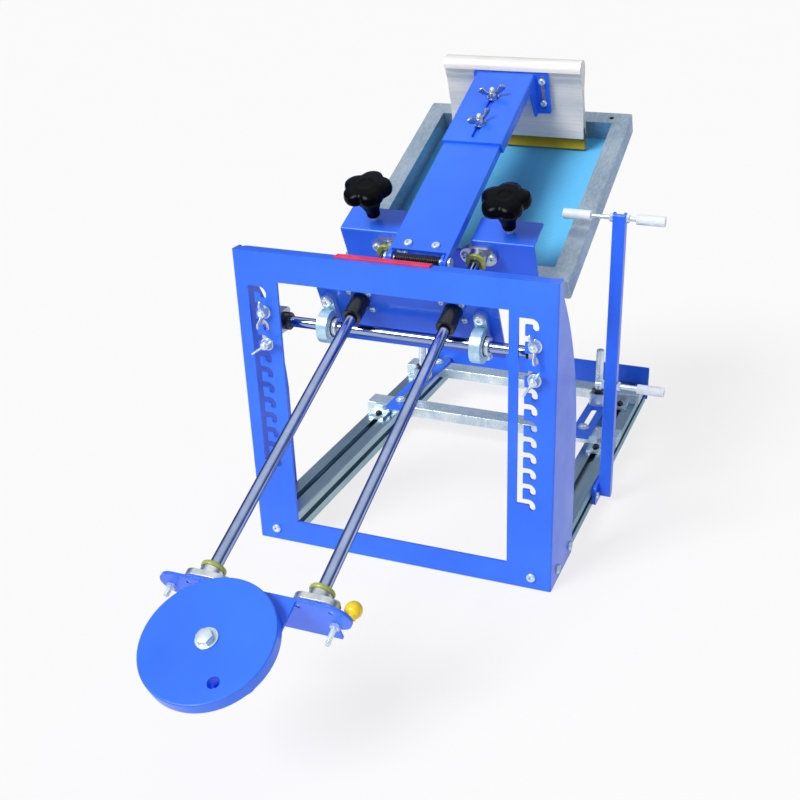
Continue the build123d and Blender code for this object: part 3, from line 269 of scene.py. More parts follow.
def addNode(tree, kind, values=None, **settings):
    node = tree.nodes.new("ShaderNode" + kind)
    for key, value in settings.items():
        setattr(node, key, value)
    for key, value in (values or {}).items():
        node.inputs[key].default_value = value
    return node


def objectPattern(tree, stretch=(1, 1, 1)):
    place = addNode(tree, "TexCoord")
    mapping = addNode(tree, "Mapping", {"Scale": stretch})
    tree.links.new(place.outputs["Object"], mapping.inputs["Vector"])
    return mapping.outputs["Vector"]


def noise(tree, vector, scale, detail=3.0, roughness=0.5):
    node = addNode(tree, "TexNoise", {"Scale": scale, "Detail": detail, "Roughness": roughness})
    tree.links.new(vector, node.inputs["Vector"])
    return node.outputs["Fac"]


def spread(tree, value, low, high, lowOut, highOut):
    values = {"From Min": low, "From Max": high, "To Min": lowOut, "To Max": highOut}
    node = addNode(tree, "MapRange", values)
    tree.links.new(value, node.inputs["Value"])
    return node.outputs["Result"]


def twoColours(tree, value, stops):
    node = addNode(tree, "ValToRGB")
    ramp = node.color_ramp
    while len(ramp.elements) < len(stops):
        ramp.elements.new(0.5)
    for element, (place, colour) in zip(ramp.elements, stops):
        element.position = place
        element.color = (*colour, 1)
    tree.links.new(value, node.inputs["Fac"])
    return node.outputs["Color"]


def bump(tree, shader, height, distance, strength):
    node = addNode(tree, "Bump", {"Strength": strength, "Distance": distance})
    tree.links.new(height, node.inputs["Height"])
    tree.links.new(node.outputs["Normal"], shader.inputs["Normal"])


def setLook(shader, values):
    for key, value in values.items():
        shader.inputs[key].default_value = value


noiseLow, noiseHigh = 0.3, 0.7  # most of a noise lies between these


def unevenSheen(tree, shader, value, roughness):
    low, high = roughness
    rough = spread(tree, value, noiseLow, noiseHigh, low, high)
    tree.links.new(rough, shader.inputs["Roughness"])


bluePaint = {
    "deep": (0.020, 0.135, 0.88), "light": (0.034, 0.185, 0.99), "cloudScale": 7.0,
    "roughness": (0.30, 0.40), "patchScale": 24.0,
    "peelScale": 420.0, "peelDepth": 0.00003, "peelStrength": 0.4,
    "look": {"IOR": 1.48, "Specular IOR Level": 0.4, "Coat Weight": 0.18, "Coat Roughness": 0.14},
}


def paintMaterial():
    # sprayed gloss paint: two close blues, an orange-peel skin and a softer sheen in patches
    material, tree, shader = newMaterial("bluePaint")
    vector = objectPattern(tree)
    cloud = noise(tree, vector, bluePaint["cloudScale"], 3.0)
    stops = [(noiseLow, bluePaint["deep"]), (noiseHigh, bluePaint["light"])]
    colour = twoColours(tree, cloud, stops)
    tree.links.new(colour, shader.inputs["Base Color"])
    patch = noise(tree, vector, bluePaint["patchScale"], 3.0)
    unevenSheen(tree, shader, patch, bluePaint["roughness"])
    peel = noise(tree, vector, bluePaint["peelScale"], 1.0)
    bump(tree, shader, peel, bluePaint["peelDepth"], bluePaint["peelStrength"])
    setLook(shader, bluePaint["look"])
    return material


metals = {
    "zinc": {
        "colours": ((0.54, 0.68, 0.76), (0.88, 0.94, 0.96)), "roughness": (0.20, 0.34), "metal": 0.6,
        "scale": 90.0, "cloud": 30.0, "depth": 0.00003, "tint": (0.30, 0.45, 0.62),
    },
    "wingSteel": {
        "colours": ((0.26, 0.32, 0.42), (0.52, 0.60, 0.70)), "roughness": (0.20, 0.32),
        "scale": 160.0, "cloud": 60.0, "depth": 0.00004, "tint": (0.25, 0.4, 0.6),
    },
    "castZinc": {
        "colours": ((0.42, 0.66, 0.80), (0.66, 0.86, 0.96)), "roughness": (0.28, 0.42), "metal": 0.6,
        "scale": 220.0, "cloud": 40.0, "depth": 0.00012, "tint": (0.35, 0.5, 0.65),
    },
    "castAlloy": {
        "colours": ((0.46, 0.50, 0.54), (0.76, 0.79, 0.82)), "roughness": (0.26, 0.40),
        "scale": 200.0, "cloud": 40.0, "depth": 0.00008, "tint": (0.4, 0.5, 0.65),
    },
    "railAlloy": {
        "colours": ((0.32, 0.44, 0.48), (0.50, 0.61, 0.64)), "roughness": (0.28, 0.40),
        "scale": 60.0, "cloud": 14.0, "stretch": (16, 0.25, 16), "depth": 0.00003,
        "tint": (0.4, 0.55, 0.7),
    },
    "frameAlloy": {
        "colours": ((0.26, 0.34, 0.42), (0.44, 0.52, 0.60)), "roughness": (0.26, 0.38), "metal": 0.6,
        "scale": 60.0, "cloud": 12.0, "stretch": (5, 1, 5), "depth": 0.00003,
        "tint": (0.4, 0.55, 0.8),
    },
    "squeegeeAlloy": {
        "colours": ((0.66, 0.635, 0.59), (0.86, 0.83, 0.775)), "roughness": (0.42, 0.55), "metal": 0.12,
        "scale": 50.0, "cloud": 10.0, "stretch": (0.25, 14, 14), "depth": 0.00002,
        "tint": (0.6, 0.65, 0.75),
    },
    "groundSteel": {
        # the rods' blue base colours and navy edge tint are painted reflection of the blue paint round them
        "colours": ((0.28, 0.36, 0.58), (0.40, 0.48, 0.70)), "roughness": (0.10, 0.15),
        "scale": 60.0, "cloud": 8.0, "depth": 0.000002, "tint": (0.02, 0.03, 0.14),
    },
}
metalPattern = {
    "grainDetail": 5.0, "grainRoughness": 0.6, "sumLow": 0.7, "sumHigh": 1.3, "bumpStrength": 0.8,
}


def metalMaterial(name):
    # bare or plated metal: cloudy colour, uneven polish and a fine grain along its stretch
    look = metals[name]
    material, tree, shader = newMaterial(name)
    vector = objectPattern(tree, look.get("stretch", (1, 1, 1)))
    grain = noise(tree, vector, look["scale"], metalPattern["grainDetail"], metalPattern["grainRoughness"])
    cloud = noise(tree, objectPattern(tree), look["cloud"], 3.0)
    blend = addNode(tree, "Math", operation="ADD")
    tree.links.new(grain, blend.inputs[0])
    tree.links.new(cloud, blend.inputs[1])
    total = blend.outputs["Value"]
    mixed = spread(tree, total, metalPattern["sumLow"], metalPattern["sumHigh"], 0.0, 1.0)
    dark, light = look["colours"]
    tree.links.new(twoColours(tree, mixed, [(0.1, dark), (0.9, light)]), shader.inputs["Base Color"])
    low, high = look["roughness"]
    tree.links.new(spread(tree, mixed, 0.0, 1.0, high, low), shader.inputs["Roughness"])
    bump(tree, shader, grain, look["depth"], metalPattern["bumpStrength"])
    setLook(shader, {"Metallic": look.get("metal", 1.0), "Specular Tint": (*look["tint"], 1)})
    return material


softs = {
    "blackSteel": {
        "colours": ((0.004, 0.005, 0.008), (0.014, 0.016, 0.022)), "roughness": (0.22, 0.36),
        "scale": 180.0, "depth": 0.00003, "coat": 0.35, "light": 0.0,
    },
    "blackPlastic": {
        "colours": ((0.0006, 0.0008, 0.0016), (0.002, 0.0024, 0.004)), "roughness": (0.16, 0.22),
        "scale": 200.0, "depth": 0.00002, "coat": 0.0, "light": 0.0, "shine": 0.05,
    },
    "whiteNylon": {
        "colours": ((0.72, 0.76, 0.79), (0.86, 0.89, 0.90)), "roughness": (0.38, 0.5),
        "scale": 140.0, "depth": 0.00005, "coat": 0.05, "light": 0.3,
    },
    "redRubber": {
        "colours": ((0.80, 0.035, 0.10), (0.95, 0.08, 0.16)), "roughness": (0.5, 0.65),
        "scale": 300.0, "depth": 0.00008, "coat": 0.0, "light": 0.0,
    },
    "oliveRubber": {
        "colours": ((0.26, 0.32, 0.04), (0.52, 0.56, 0.10)), "roughness": (0.22, 0.36),
        "scale": 120.0, "depth": 0.00005, "coat": 0.4, "light": 0.35,
    },
    "yellowRubber": {
        "colours": ((0.86, 0.56, 0.01), (0.97, 0.72, 0.02)), "roughness": (0.26, 0.4),
        "scale": 160.0, "depth": 0.00005, "coat": 0.3, "light": 0.3,
    },
}
softPattern = {
    "grainDetail": 4.0, "grainRoughness": 0.6, "cloudScale": 45.0, "bumpStrength": 0.6,
    "plainShine": 0.35, "coatRoughness": 0.15, "lightDepth": 0.004,
}


def softMaterial(name):
    # plastics, rubbers and blacked steel: mottled colour, uneven gloss and a moulded skin
    look = softs[name]
    material, tree, shader = newMaterial(name)
    vector = objectPattern(tree)
    grain = noise(tree, vector, look["scale"], softPattern["grainDetail"], softPattern["grainRoughness"])
    cloud = noise(tree, vector, softPattern["cloudScale"], 3.0)
    dark, light = look["colours"]
    tree.links.new(twoColours(tree, cloud, [(0.32, dark), (0.68, light)]), shader.inputs["Base Color"])
    unevenSheen(tree, shader, grain, look["roughness"])
    bump(tree, shader, grain, look["depth"], softPattern["bumpStrength"])
    setLook(shader, {
        "Specular IOR Level": look.get("shine", softPattern["plainShine"]), "Coat Weight": look["coat"],
        "Coat Roughness": softPattern["coatRoughness"], "Subsurface Weight": look["light"],
        "Subsurface Scale": softPattern["lightDepth"],
    })
    return material


bladeLook = {
    # top is the blade's amber in painted shade under the holder; edge is its amber where light reaches it
    "edge": (0.80, 0.46, 0.010), "middle": (0.38, 0.25, 0.002), "top": (0.14, 0.095, 0.001),
    "fadeHeight": 0.020, "patchScale": 60.0, "patchShare": 0.12, "roughness": (0.24, 0.36),
    "bumpDepth": 0.00004, "bumpStrength": 0.5,
    "look": {"Specular IOR Level": 0.3, "Subsurface Weight": 0.2, "Subsurface Scale": 0.004},
}


def bladeMaterial():
    # amber urethane with painted shade: darker towards its top under the holder, lighter towards its working edge
    material, tree, shader = newMaterial("amberRubber")
    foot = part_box("squeegee_blade")[0].z
    place = addNode(tree, "TexCoord")
    split = addNode(tree, "SeparateXYZ")
    tree.links.new(place.outputs["Object"], split.inputs["Vector"])
    fade = spread(tree, split.outputs["Z"], foot, foot + bladeLook["fadeHeight"], 0.0, 1.0)
    patch = noise(tree, place.outputs["Object"], bladeLook["patchScale"], 4.0)
    blend = addNode(tree, "Math", {1: bladeLook["patchShare"]}, operation="MULTIPLY_ADD")
    tree.links.new(patch, blend.inputs[0])
    tree.links.new(fade, blend.inputs[2])
    stops = [(0.1, bladeLook["edge"]), (0.55, bladeLook["middle"]), (0.95, bladeLook["top"])]
    tree.links.new(twoColours(tree, blend.outputs["Value"], stops), shader.inputs["Base Color"])
    unevenSheen(tree, shader, patch, bladeLook["roughness"])
    bump(tree, shader, patch, bladeLook["bumpDepth"], bladeLook["bumpStrength"])
    setLook(shader, bladeLook["look"])
    return material


meshLook = {
    # deep is the cloth's colour in painted shade; alongRun, acrossRun and their shares paint that shade, darker
    # towards the clamp and near the arm, paler at the far end and the right edge
    "bright": (0.13, 0.55, 0.95), "middle": (0.13, 0.56, 0.88), "deep": (0.045, 0.22, 0.36),
    "threadsPerMetre": 2600.0, "threadLift": 0.12, "cloudScale": 9.0, "cloudShare": 0.25,
    "alongRun": (0.0, 0.26), "alongShare": (0.0, 0.55),
    "acrossRun": (0.165, 0.225), "acrossShare": (-0.30, 0.12),
    "roughness": (0.42, 0.58), "bumpDepth": 0.00005, "bumpStrength": 0.5,
}


def meshMaterial():
    # coated screen cloth: two crossed thread waves, with painted shade that darkens it towards the clamp and from
    # the left side across the middle near the arm, and lightens it towards the far end and the right edge
    material, tree, shader = newMaterial("meshFabric")
    chart = addNode(tree, "UVMap", uv_map="cloth")
    split = addNode(tree, "SeparateXYZ")
    tree.links.new(chart.outputs["UV"], split.inputs["Vector"])
    weave = addNode(tree, "Math", operation="MAXIMUM")
    for place, axis in enumerate("XY"):
        run = addNode(tree, "Math", {1: meshLook["threadsPerMetre"]}, operation="MULTIPLY")
        tree.links.new(split.outputs[axis], run.inputs[0])
        wave = addNode(tree, "Math", operation="SINE")
        tree.links.new(run.outputs["Value"], wave.inputs[0])
        tree.links.new(wave.outputs["Value"], weave.inputs[place])
    cloud = noise(tree, chart.outputs["UV"], meshLook["cloudScale"], 4.0)
    total = addNode(tree, "Math", operation="ADD")
    # the runs along and across the cloth are painted shade: darker towards the clamp and from the left across the
    # middle, near the arm
    for place, axis, key in ((0, "Y", "along"), (1, "X", "across")):
        run, share = meshLook[key + "Run"], meshLook[key + "Share"]
        tree.links.new(spread(tree, split.outputs[axis], *run, *share), total.inputs[place])
    shadeAndCloud = addNode(tree, "Math", {1: meshLook["cloudShare"]}, operation="MULTIPLY_ADD")
    tree.links.new(cloud, shadeAndCloud.inputs[0])
    tree.links.new(total.outputs["Value"], shadeAndCloud.inputs[2])
    stops = [(0.0, meshLook["deep"]), (0.45, meshLook["middle"]), (0.8, meshLook["bright"])]
    # the coat's blue with the painted shade mixed in
    coat = twoColours(tree, shadeAndCloud.outputs["Value"], stops)
    most = meshLook["threadLift"]
    lift = spread(tree, weave.outputs["Value"], 0.2, 1.0, 1.0 - most, 1.0 + most)
    tint = addNode(tree, "VectorMath", operation="SCALE")
    tree.links.new(coat, tint.inputs["Vector"])
    tree.links.new(lift, tint.inputs["Scale"])
    tree.links.new(tint.outputs["Vector"], shader.inputs["Base Color"])
    unevenSheen(tree, shader, cloud, meshLook["roughness"])
    bump(tree, shader, weave.outputs["Value"], meshLook["bumpDepth"], meshLook["bumpStrength"])
    return material


made = {name: metalMaterial(name) for name in metals}
made.update({name: softMaterial(name) for name in softs})
made["bluePaint"] = paintMaterial()
made["amberRubber"] = bladeMaterial()
made["meshFabric"] = meshMaterial()
slotFinish = {
    "blue_paint": "bluePaint", "zinc": "zinc", "rail_alloy": "railAlloy", "cast_alloy": "castAlloy",
    "cast_zinc": "castZinc", "chrome": "groundSteel", "black_steel": "blackSteel",
    "red_rubber": "redRubber", "green_rubber": "oliveRubber", "yellow_rubber": "yellowRubber",
    "amber_rubber": "amberRubber", "white_nylon": "whiteNylon", "black_plastic": "blackPlastic",
    "frame_alloy": "frameAlloy", "squeegee_alloy": "squeegeeAlloy", "mesh_fabric": "meshFabric",
}
print("materials made:", len(made))


edgeWidths = {  # metres, for the nodes whose edges show
    "front_frame": 0.0007, "carriage_plate": 0.0006, "screen_clamp": 0.0006, "arm_lower": 0.0006,
    "arm_upper": 0.0006, "counter_plate": 0.0006, "stop_post": 0.0005, "slide_plate_left": 0.0005,
    "slide_plate_right": 0.0005, "rear_plate": 0.0005, "pillow_blocks": 0.0010, "shaft_blocks": 0.0007,
    "rod_supports": 0.0007, "screen_frame": 0.0006, "cross_bars": 0.0004, "rail_brackets": 0.0004,
    "hinge_lugs": 0.0004, "base_rails": 0.0003, "squeegee_holder": 0.0003, "squeegee_blade": 0.0004,
    "guide_post_left": 0.0004, "guide_post_right": 0.0004, "linear_bearings": 0.0003,
    "shaft_collars": 0.0003, "counterweight_disc": 0.0,
}
nodeFinish = {
    "join": 0.000002, "flatWithin": 0.5, "plainEdge": 0.00025, "segments": 2, "crease": 38, "even": 50,
}


def finishNode(name, node, slotName):
    # one material, whole flat faces, softened edges and creases, and shading led by the large faces
    material = made[slotFinish[slotName]]
    if not node.material_slots:
        node.data.materials.append(material)
    for place in node.material_slots:
        place.material = material
    node.data.shade_smooth()
    weld = node.modifiers.new("joinedFaces", "WELD")
    weld.merge_threshold = nodeFinish["join"]
    flat = node.modifiers.new("flatFaces", "DECIMATE")
    flat.decimate_type = "DISSOLVE"
    flat.angle_limit = radians(nodeFinish["flatWithin"])
    width = edgeWidths.get(name, nodeFinish["plainEdge"])
    if width:
        edge = node.modifiers.new("softEdges", "BEVEL")
        edge.width = width
        edge.segments = nodeFinish["segments"]
        edge.limit_method = "ANGLE"
        edge.angle_limit = radians(nodeFinish["crease"])
    split = node.modifiers.new("creases", "EDGE_SPLIT")
    split.split_angle = radians(nodeFinish["crease"])
    even = node.modifiers.new("evenShading", "WEIGHTED_NORMAL")
    even.mode = "FACE_AREA"
    even.weight = nodeFinish["even"]


slots = {part["node"]: part["material_slot"] for part in frame["record"]["subparts"]}
for name, node in nodes.items():
    finishNode(name, node, slots[name])
print("nodes finished")


wingNut = {
    "bore": 0.0027, "hubFoot": 0.0060, "hubWaist": 0.00582, "waistHeight": 0.00266, "hubTop": 0.0046,
    "hubHeight": 0.0076, "soft": 0.0010, "hubAround": 28, "earRows": 22, "earAround": 24,
    "earStart": 0.0034, "earReach": 0.0142, "earSweep": 1.35, "earLow": 0.0040, "earHigh": 0.0138,
    "earClimb": 1.25, "earRoot": 0.0028, "earTip": 0.0050, "tipFrom": 0.7, "earThick": 0.0017,
    "earThins": 0.25, "earSquare": 0.8,
}
ringShape = {"rim": 0.0003, "around": 40}
heightFastening = {
    "turns": (80, 35, 100, 60), "washer": 0.0012, "washerRadius": 0.0075, "studRadius": 0.0029,
    "shortestStud": 0.02, "pitch": 0.0010, "nutAcross": 0.0095, "nutHeight": 0.004, "nutBehind": 0.010,
}


def ringGrid(outer, inner, height, origin, axis):
    # a flat ring with softened rims, turned from its section
    profile = rounded([
        (inner, height / 2), (inner, 0), (outer, 0), (outer, height), (inner, height), (inner, height / 2),
    ], min(ringShape["rim"], height / 3))
    return turned(profile, ringShape["around"], origin, axis)


def heightFasteners():
    # threaded studs with washers in front, nuts behind and wing nuts on their ends
    size = heightFastening
    studs = [s for s in solidsOf("height_studs") if np.ptp(s[:, 1]) > size["shortestStud"]]
    studs.sort(key=lambda s: (middleOf(s)[0] > 0, -middleOf(s)[2]))
    wings, hardware = [], []
    for stud, turn in zip(studs, size["turns"]):
        middle = middleOf(stud)
        face = np.array((middle[0], 0.0, middle[2]))
        behind = face - frontWay * size["nutBehind"]
        start = face + frontWay * size["washer"]
        rear, front = -stud[:, 1].max(), -stud[:, 1].min()
        hardware += [
            threaded(size["studRadius"], rear, front, size["pitch"], face, frontWay),
            ringGrid(size["washerRadius"], size["studRadius"], size["washer"], face, frontWay),
            hexBody(size["nutAcross"], size["nutHeight"], size["studRadius"], behind, -frontWay),
        ]
        wings += wingNutGrids(start, frontWay, radians(turn), wingNut)
    makePiece("heightStuds", hardware, "base", made["zinc"], ["height_studs"])
    makePiece("heightWingNuts", wings, "base", made["zinc"], ["height_wing_nuts"])


armFastening = {
    "turns": (55, 20), "studRadius": 0.0029, "pitch": 0.0010, "headAcross": 0.010, "headHeight": 0.004,
    "washerRadius": 0.0075, "washer": 0.0012,
}


def armFasteners():
    # threaded studs through the arm's slot, hexagon heads under it, washers and wing nuts on top
    size = armFastening
    hardware = []
    for solid in solidsOf("arm_studs"):
        foot, length = standing(solid, armUp)
        if length > 2 * size["headHeight"]:
            hardware.append(threaded(size["studRadius"], 0, length, size["pitch"], foot, armUp))
        else:
            hardware.append(hexBody(size["headAcross"], size["headHeight"], 0.0, foot, armUp))
    makePiece("armStuds", hardware, "arm", made["zinc"], ["arm_studs"])
    washers = [standing(s, armUp) for s in solidsOf("arm_wing_nuts")]
    washers = sorted((foot for foot, length in washers if length < 2 * size["washer"]), key=lambda f: f[1])
    nuts = []
    for foot, turn in zip(washers, size["turns"]):
        nuts.append(ringGrid(size["washerRadius"], size["studRadius"], size["washer"], foot, armUp))
        nuts += wingNutGrids(foot + armUp * size["washer"], armUp, radians(turn), wingNut)
    makePiece("armWingNuts", nuts, "arm", made["wingSteel"], ["arm_wing_nuts"])


armFasteners()
heightFasteners()

rearScrew = {
    "radius": 0.003, "pitch": 0.0010, "shortestStud": 0.025, "nutAcross": 0.010, "nutHeight": 0.005,
    "turn": 25,
}


def rearWingScrew():
    # a threaded stud in the rear bar with its locknut and a wing nut
    size = rearScrew
    grids = []
    for solid in solidsOf("rear_wing_screw"):
        foot, length = standing(solid, upWay)
        if length > size["shortestStud"]:
            grids.append(threaded(size["radius"], 0, length, size["pitch"], foot, upWay))
        elif length < 1.2 * size["nutHeight"]:
            grids.append(hexBody(size["nutAcross"], size["nutHeight"], size["radius"], foot, upWay))
        else:
            grids += wingNutGrids(foot, upWay, radians(size["turn"]), wingNut)
    makePiece("rearWingScrew", grids, "base", made["zinc"], ["rear_wing_screw"])


rearWingScrew()

bolts = {
    "discRadius": 0.004, "discPitch": 0.00125, "discAcross": 0.013, "discHead": 0.006, "headTurn": 12,
    "discWasher": 0.010, "washer": 0.0012, "shankGap": 0.0001,
    "plateRadius": 0.0025, "platePitch": 0.0008, "plateAcross": 0.008, "plateNut": 0.004,
}


def counterweightBolts():
    # the disc's hexagon bolt with washer and nut, and the long threaded screws of the cross plate
    size = bolts
    grids = []
    for solid in solidsOf("counterweight_bolt"):
        foot, length = standing(solid, rodUp)
        wide = np.ptp(solid[:, 0])
        if length < 2 * size["washer"]:
            grids.append(ringGrid(size["discWasher"], size["discRadius"], length, foot, rodUp))
        elif length < 1.2 * size["discHead"] and wide < 1.3 * size["discAcross"]:
            grids.append(hexBody(size["discAcross"], length, size["discRadius"], foot, rodUp))
        else:
            head = foot + rodUp * (length - size["discHead"])
            shank = length - size["discHead"] - size["shankGap"]
            turn = radians(size["headTurn"])
            grids.append(hexBody(size["discAcross"], size["discHead"], 0.0, head, rodUp, turn))
            grids.append(threaded(size["discRadius"], 0, shank, size["discPitch"], head, -rodUp))
    makePiece("counterweightBolt", grids, "screen_carriage", made["zinc"], ["counterweight_bolt"])
    grids = []
    for solid in solidsOf("plate_screws"):
        foot, length = standing(solid, -rodWay)
        if length < 1.2 * size["plateNut"]:
            grids.append(hexBody(size["plateAcross"], size["plateNut"], size["plateRadius"], foot, -rodWay))
        else:
            grids.append(threaded(size["plateRadius"], 0, length, size["platePitch"], foot, -rodWay))
    makePiece("plateScrews", grids, "screen_carriage", made["zinc"], ["plate_screws"])


counterweightBolts()

stopHardware = {"longestNut": 0.01, "nutBore": 0.0026, "pinShare": 0.99, "pinEnd": 0.0006, "pinAround": 28}
postNut = {"across": 0.017, "bore": 0.005, "turn": 10}


def stopPins():
    # straight pins with rounded ends, and a nut on each face of the post
    size = stopHardware
    grids = []
    for solid in solidsOf("stop_pins"):
        foot, length = standing(solid, across)
        wide, tall = np.ptp(solid[:, 1]), np.ptp(solid[:, 2])
        if length < size["longestNut"]:
            flats = wide * cos(pi / 6) if wide > tall else wide
            grids.append(hexBody(flats, length, size["nutBore"], foot, across))
            continue
        radius = wide / 2 * size["pinShare"]
        profile = rounded([(0, 0), (radius, 0), (radius, length), (0, length)], size["pinEnd"])
        grids.append(turned(profile, size["pinAround"], foot, across))
    makePiece("stopPins", grids, "base", made["zinc"], ["stop_pins"])


def postNuts():
    size = postNut
    for side in ("left", "right"):
        foot, length = standing(solidsOf("post_nut_" + side)[0], upWay)
        nut = hexBody(size["across"], length, size["bore"], foot, upWay, radians(size["turn"]))
        makePiece("postNut" + side.capitalize(), [nut], "slide_" + side, made["blackSteel"],
                  ["post_nut_" + side])


stopPins()
postNuts()
print("threaded fasteners made")

spring = {"wire": 0.00095, "pitch": 0.00215, "radius": 0.0053, "around": 8, "perTurn": 20}


def tubeAlong(line, radius, around):
    # a round tube closed at both ends, whose rings stand square to a line of points
    along = np.gradient(line, axis=0)
    along /= np.linalg.norm(along, axis=1)[:, None]
    guide = np.cross(along, across)
    guide /= np.linalg.norm(guide, axis=1)[:, None]
    other = np.cross(along, guide)
    angle = np.linspace(0, 2 * pi, around, endpoint=False)[None, :, None]
    grid = line[:, None] + radius * (guide[:, None] * np.cos(angle) + other[:, None] * np.sin(angle))
    first = np.repeat(line[:1, None], around, axis=1)
    last = np.repeat(line[-1:, None], around, axis=1)
    return np.concatenate([first, grid, last]), False, True


def armSpring():
    # a close coil round the hinge pin: the angle grows evenly along the pin, one pitch a turn
    size = spring
    low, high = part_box("arm_spring")
    start, end = low.x + 2 * size["wire"], high.x - 2 * size["wire"]
    turns = int((end - start) / size["pitch"]) + 0.5
    t = np.linspace(0, 1, int(turns * size["perTurn"]))[:, None]
    angle = t * turns * 2 * pi - pi / 2
    coil = (armPivot + across * (start + (end - start) * t - armPivot[0])
            + rodWay * np.cos(angle) * size["radius"] + rodUp * np.sin(angle) * size["radius"])
    makePiece("armSpring", [tubeAlong(coil, size["wire"], size["around"])], "carriage",
              made["blackSteel"], ["arm_spring"], pieceFinish["sharpCurled"])


armSpring()

starKnob = {
    "lobes": 5, "lobeCircle": 0.0147, "lobeRadius": 0.0143, "blend": 16.0, "turn": 18.0, "around": 180,
    "headHeight": 0.0140, "plugRadius": 0.0075, "plugDip": 0.0005, "soft": 0.0030, "softSteps": 6,
    "leastReach": 1e-4,
}


def starOutline(angle):
    # the far edge of each lobe's circle seen from the middle, joined where two lobes meet by the
    # root of a sum of high powers
    circle, lobe, blend = starKnob["lobeCircle"], starKnob["lobeRadius"], starKnob["blend"]
    step = 2 * pi / starKnob["lobes"]
    total = 0
    for n in (-1, 0, 1):
        away = (angle + step / 2) % step - step / 2 + n * step
        inside = np.clip(lobe ** 2 - (circle * np.sin(away)) ** 2, 0, None)
        reach = circle * np.cos(away) + np.sqrt(inside)
        total = total + np.clip(reach, starKnob["leastReach"], None) ** blend
    return total ** (1 / blend)


def starKnobs():
    # a moulded head: each level's radius runs from a circle at the hub to the lobed outline at the rim
    size = starKnob
    for side in ("left", "right"):
        foot, length = standing(solidsOf("star_knob_" + side)[0], rodUp)
        joint = jointPlace("knob_%s_turn" % side)
        foot = joint + rodUp * ((foot - joint) @ rodUp)
        rim = length - size["headHeight"]
        levels = rounded([  # radius, height, share of the lobed outline
            (0.0040, 0.0, 0.0), (0.0076, 0.0, 0.0), (0.0082, 0.008, 0.0), (0.0120, 0.018, 0.15),
            (0.0190, rim - 0.0030, 0.7), (0.0278, rim + 0.0006, 1.0), (0.0290, rim + 0.0050, 1.0),
            (0.0276, length - 0.0034, 1.0), (0.0205, length - 0.0009, 0.75), (0.0110, length, 0.15),
            (size["plugRadius"], length - 0.0001, 0.0), (size["plugRadius"], length - 0.0006, 0.0),
            (0.0, length - size["plugDip"], 0.0),
        ], size["soft"], size["softSteps"])
        angle = np.linspace(0, 2 * pi, size["around"], endpoint=False)[:, None]
        outline = starOutline(angle - radians(size["turn"]))
        share = levels[None, :, 2]
        lobed = outline / (size["lobeCircle"] + size["lobeRadius"])
        radius = levels[None, :, 0] * (1 - share + share * lobed)
        height = levels[None, :, 1] + 0 * angle
        local = np.stack([radius * np.cos(angle), radius * np.sin(angle), height], axis=-1)
        grid = placed(local, foot, across, rodWay, rodUp), True, False
        makePiece("starKnob" + side.capitalize(), [grid], "knob_" + side,
                  made["blackPlastic"], ["star_knob_" + side], pieceFinish["sharpMoulded"])


starKnobs()

rubber = {
    "bumperOuter": 0.0120, "bumperInner": 0.0061, "bulge": 0.0008, "rimRows": 14, "around": 44,
    "cutWide": 0.0004, "cutHigh": 0.0002,
    "ballFoot": 0.0052, "footHeight": 0.0011, "ballFrom": -0.86, "ballRows": 24, "ballAround": 48,
}


def rubberPieces():
    # rings whose rim swells by half a sine, and a ball turned on a short foot
    size = rubber
    grids = []
    inner, wider, cut = size["bumperInner"], size["bumperInner"] + size["cutWide"], size["cutHigh"]
    for solid in solidsOf("bumpers"):
        foot, length = standing(solid, rodWay)
        t = np.linspace(0, pi, size["rimRows"])
        swell = size["bumperOuter"] - size["bulge"] * (1 - np.sin(t)) ** 1.5
        rim = np.stack([swell, length * t / pi], axis=1)
        last = [(wider, length), (inner, length - cut), (inner, cut)]
        profile = np.concatenate([[(inner, cut), (wider, 0)], rim, last])
        grids.append(turned(profile, size["around"], foot, rodWay))
    makePiece("bumpers", grids, "screen_carriage", made["oliveRubber"], ["bumpers"])
    foot, length = standing(solidsOf("yellow_buffer")[0], rodWay)
    half = length / 2
    t = np.linspace(size["ballFrom"], pi / 2, size["ballRows"])
    ball = np.stack([half * np.cos(t), half + half * np.sin(t)], axis=1)
    wide, tall = size["ballFoot"], size["footHeight"]
    profile = np.concatenate([[(0, 0), (wide, 0), (wide, tall)], ball])
    grids = [turned(profile, size["ballAround"], foot, rodWay)]
    makePiece("yellowBuffer", grids, "screen_carriage", made["yellowRubber"],
              ["yellow_buffer"])


rubberPieces()

screenCloth = {"flat": (0.268, 0.317), "below": 0.0003, "columns": 60, "rows": 70, "sag": 0.0003}


def screenSheet():
    # a flat grid under the screen frame that sags by the product of two half sines
    size = screenCloth
    solid = solidsOf("screen_mesh")[0]
    width, length = size["flat"]
    middle = middleOf(solid)
    foot, tall = standing(solid, rodUp)
    top = foot + rodUp * (tall - size["below"])
    centre = top + rodWay * ((middle - top) @ rodWay)
    u = np.linspace(0, 1, size["columns"])[None, :]
    v = np.linspace(0, 1, size["rows"])[:, None]
    drop = -size["sag"] * np.sin(pi * u) * np.sin(pi * v)
    local = np.stack([(u - 0.5) * width + 0 * v, (v - 0.5) * length + 0 * u, drop], axis=-1)
    grid = placed(local, centre, across, rodWay, rodUp)
    piece = makePiece("screenCloth", [(grid, False, False)], "screen_carriage",
                      made["meshFabric"], ["screen_mesh"])
    mesh = piece.data
    points = np.zeros(len(mesh.vertices) * 3)
    mesh.vertices.foreach_get("co", points)
    away = points.reshape(-1, 3) - centre
    chart = np.stack([away @ across + width / 2, away @ rodWay + length / 2], axis=1)
    corner = np.zeros(len(mesh.loops), int)
    mesh.loops.foreach_get("vertex_index", corner)
    layer = mesh.uv_layers.new(name="cloth")
    layer.data.foreach_set("uv", chart[corner].astype(np.float32).ravel())


screenSheet()
print("knobs, rubber and cloth made")

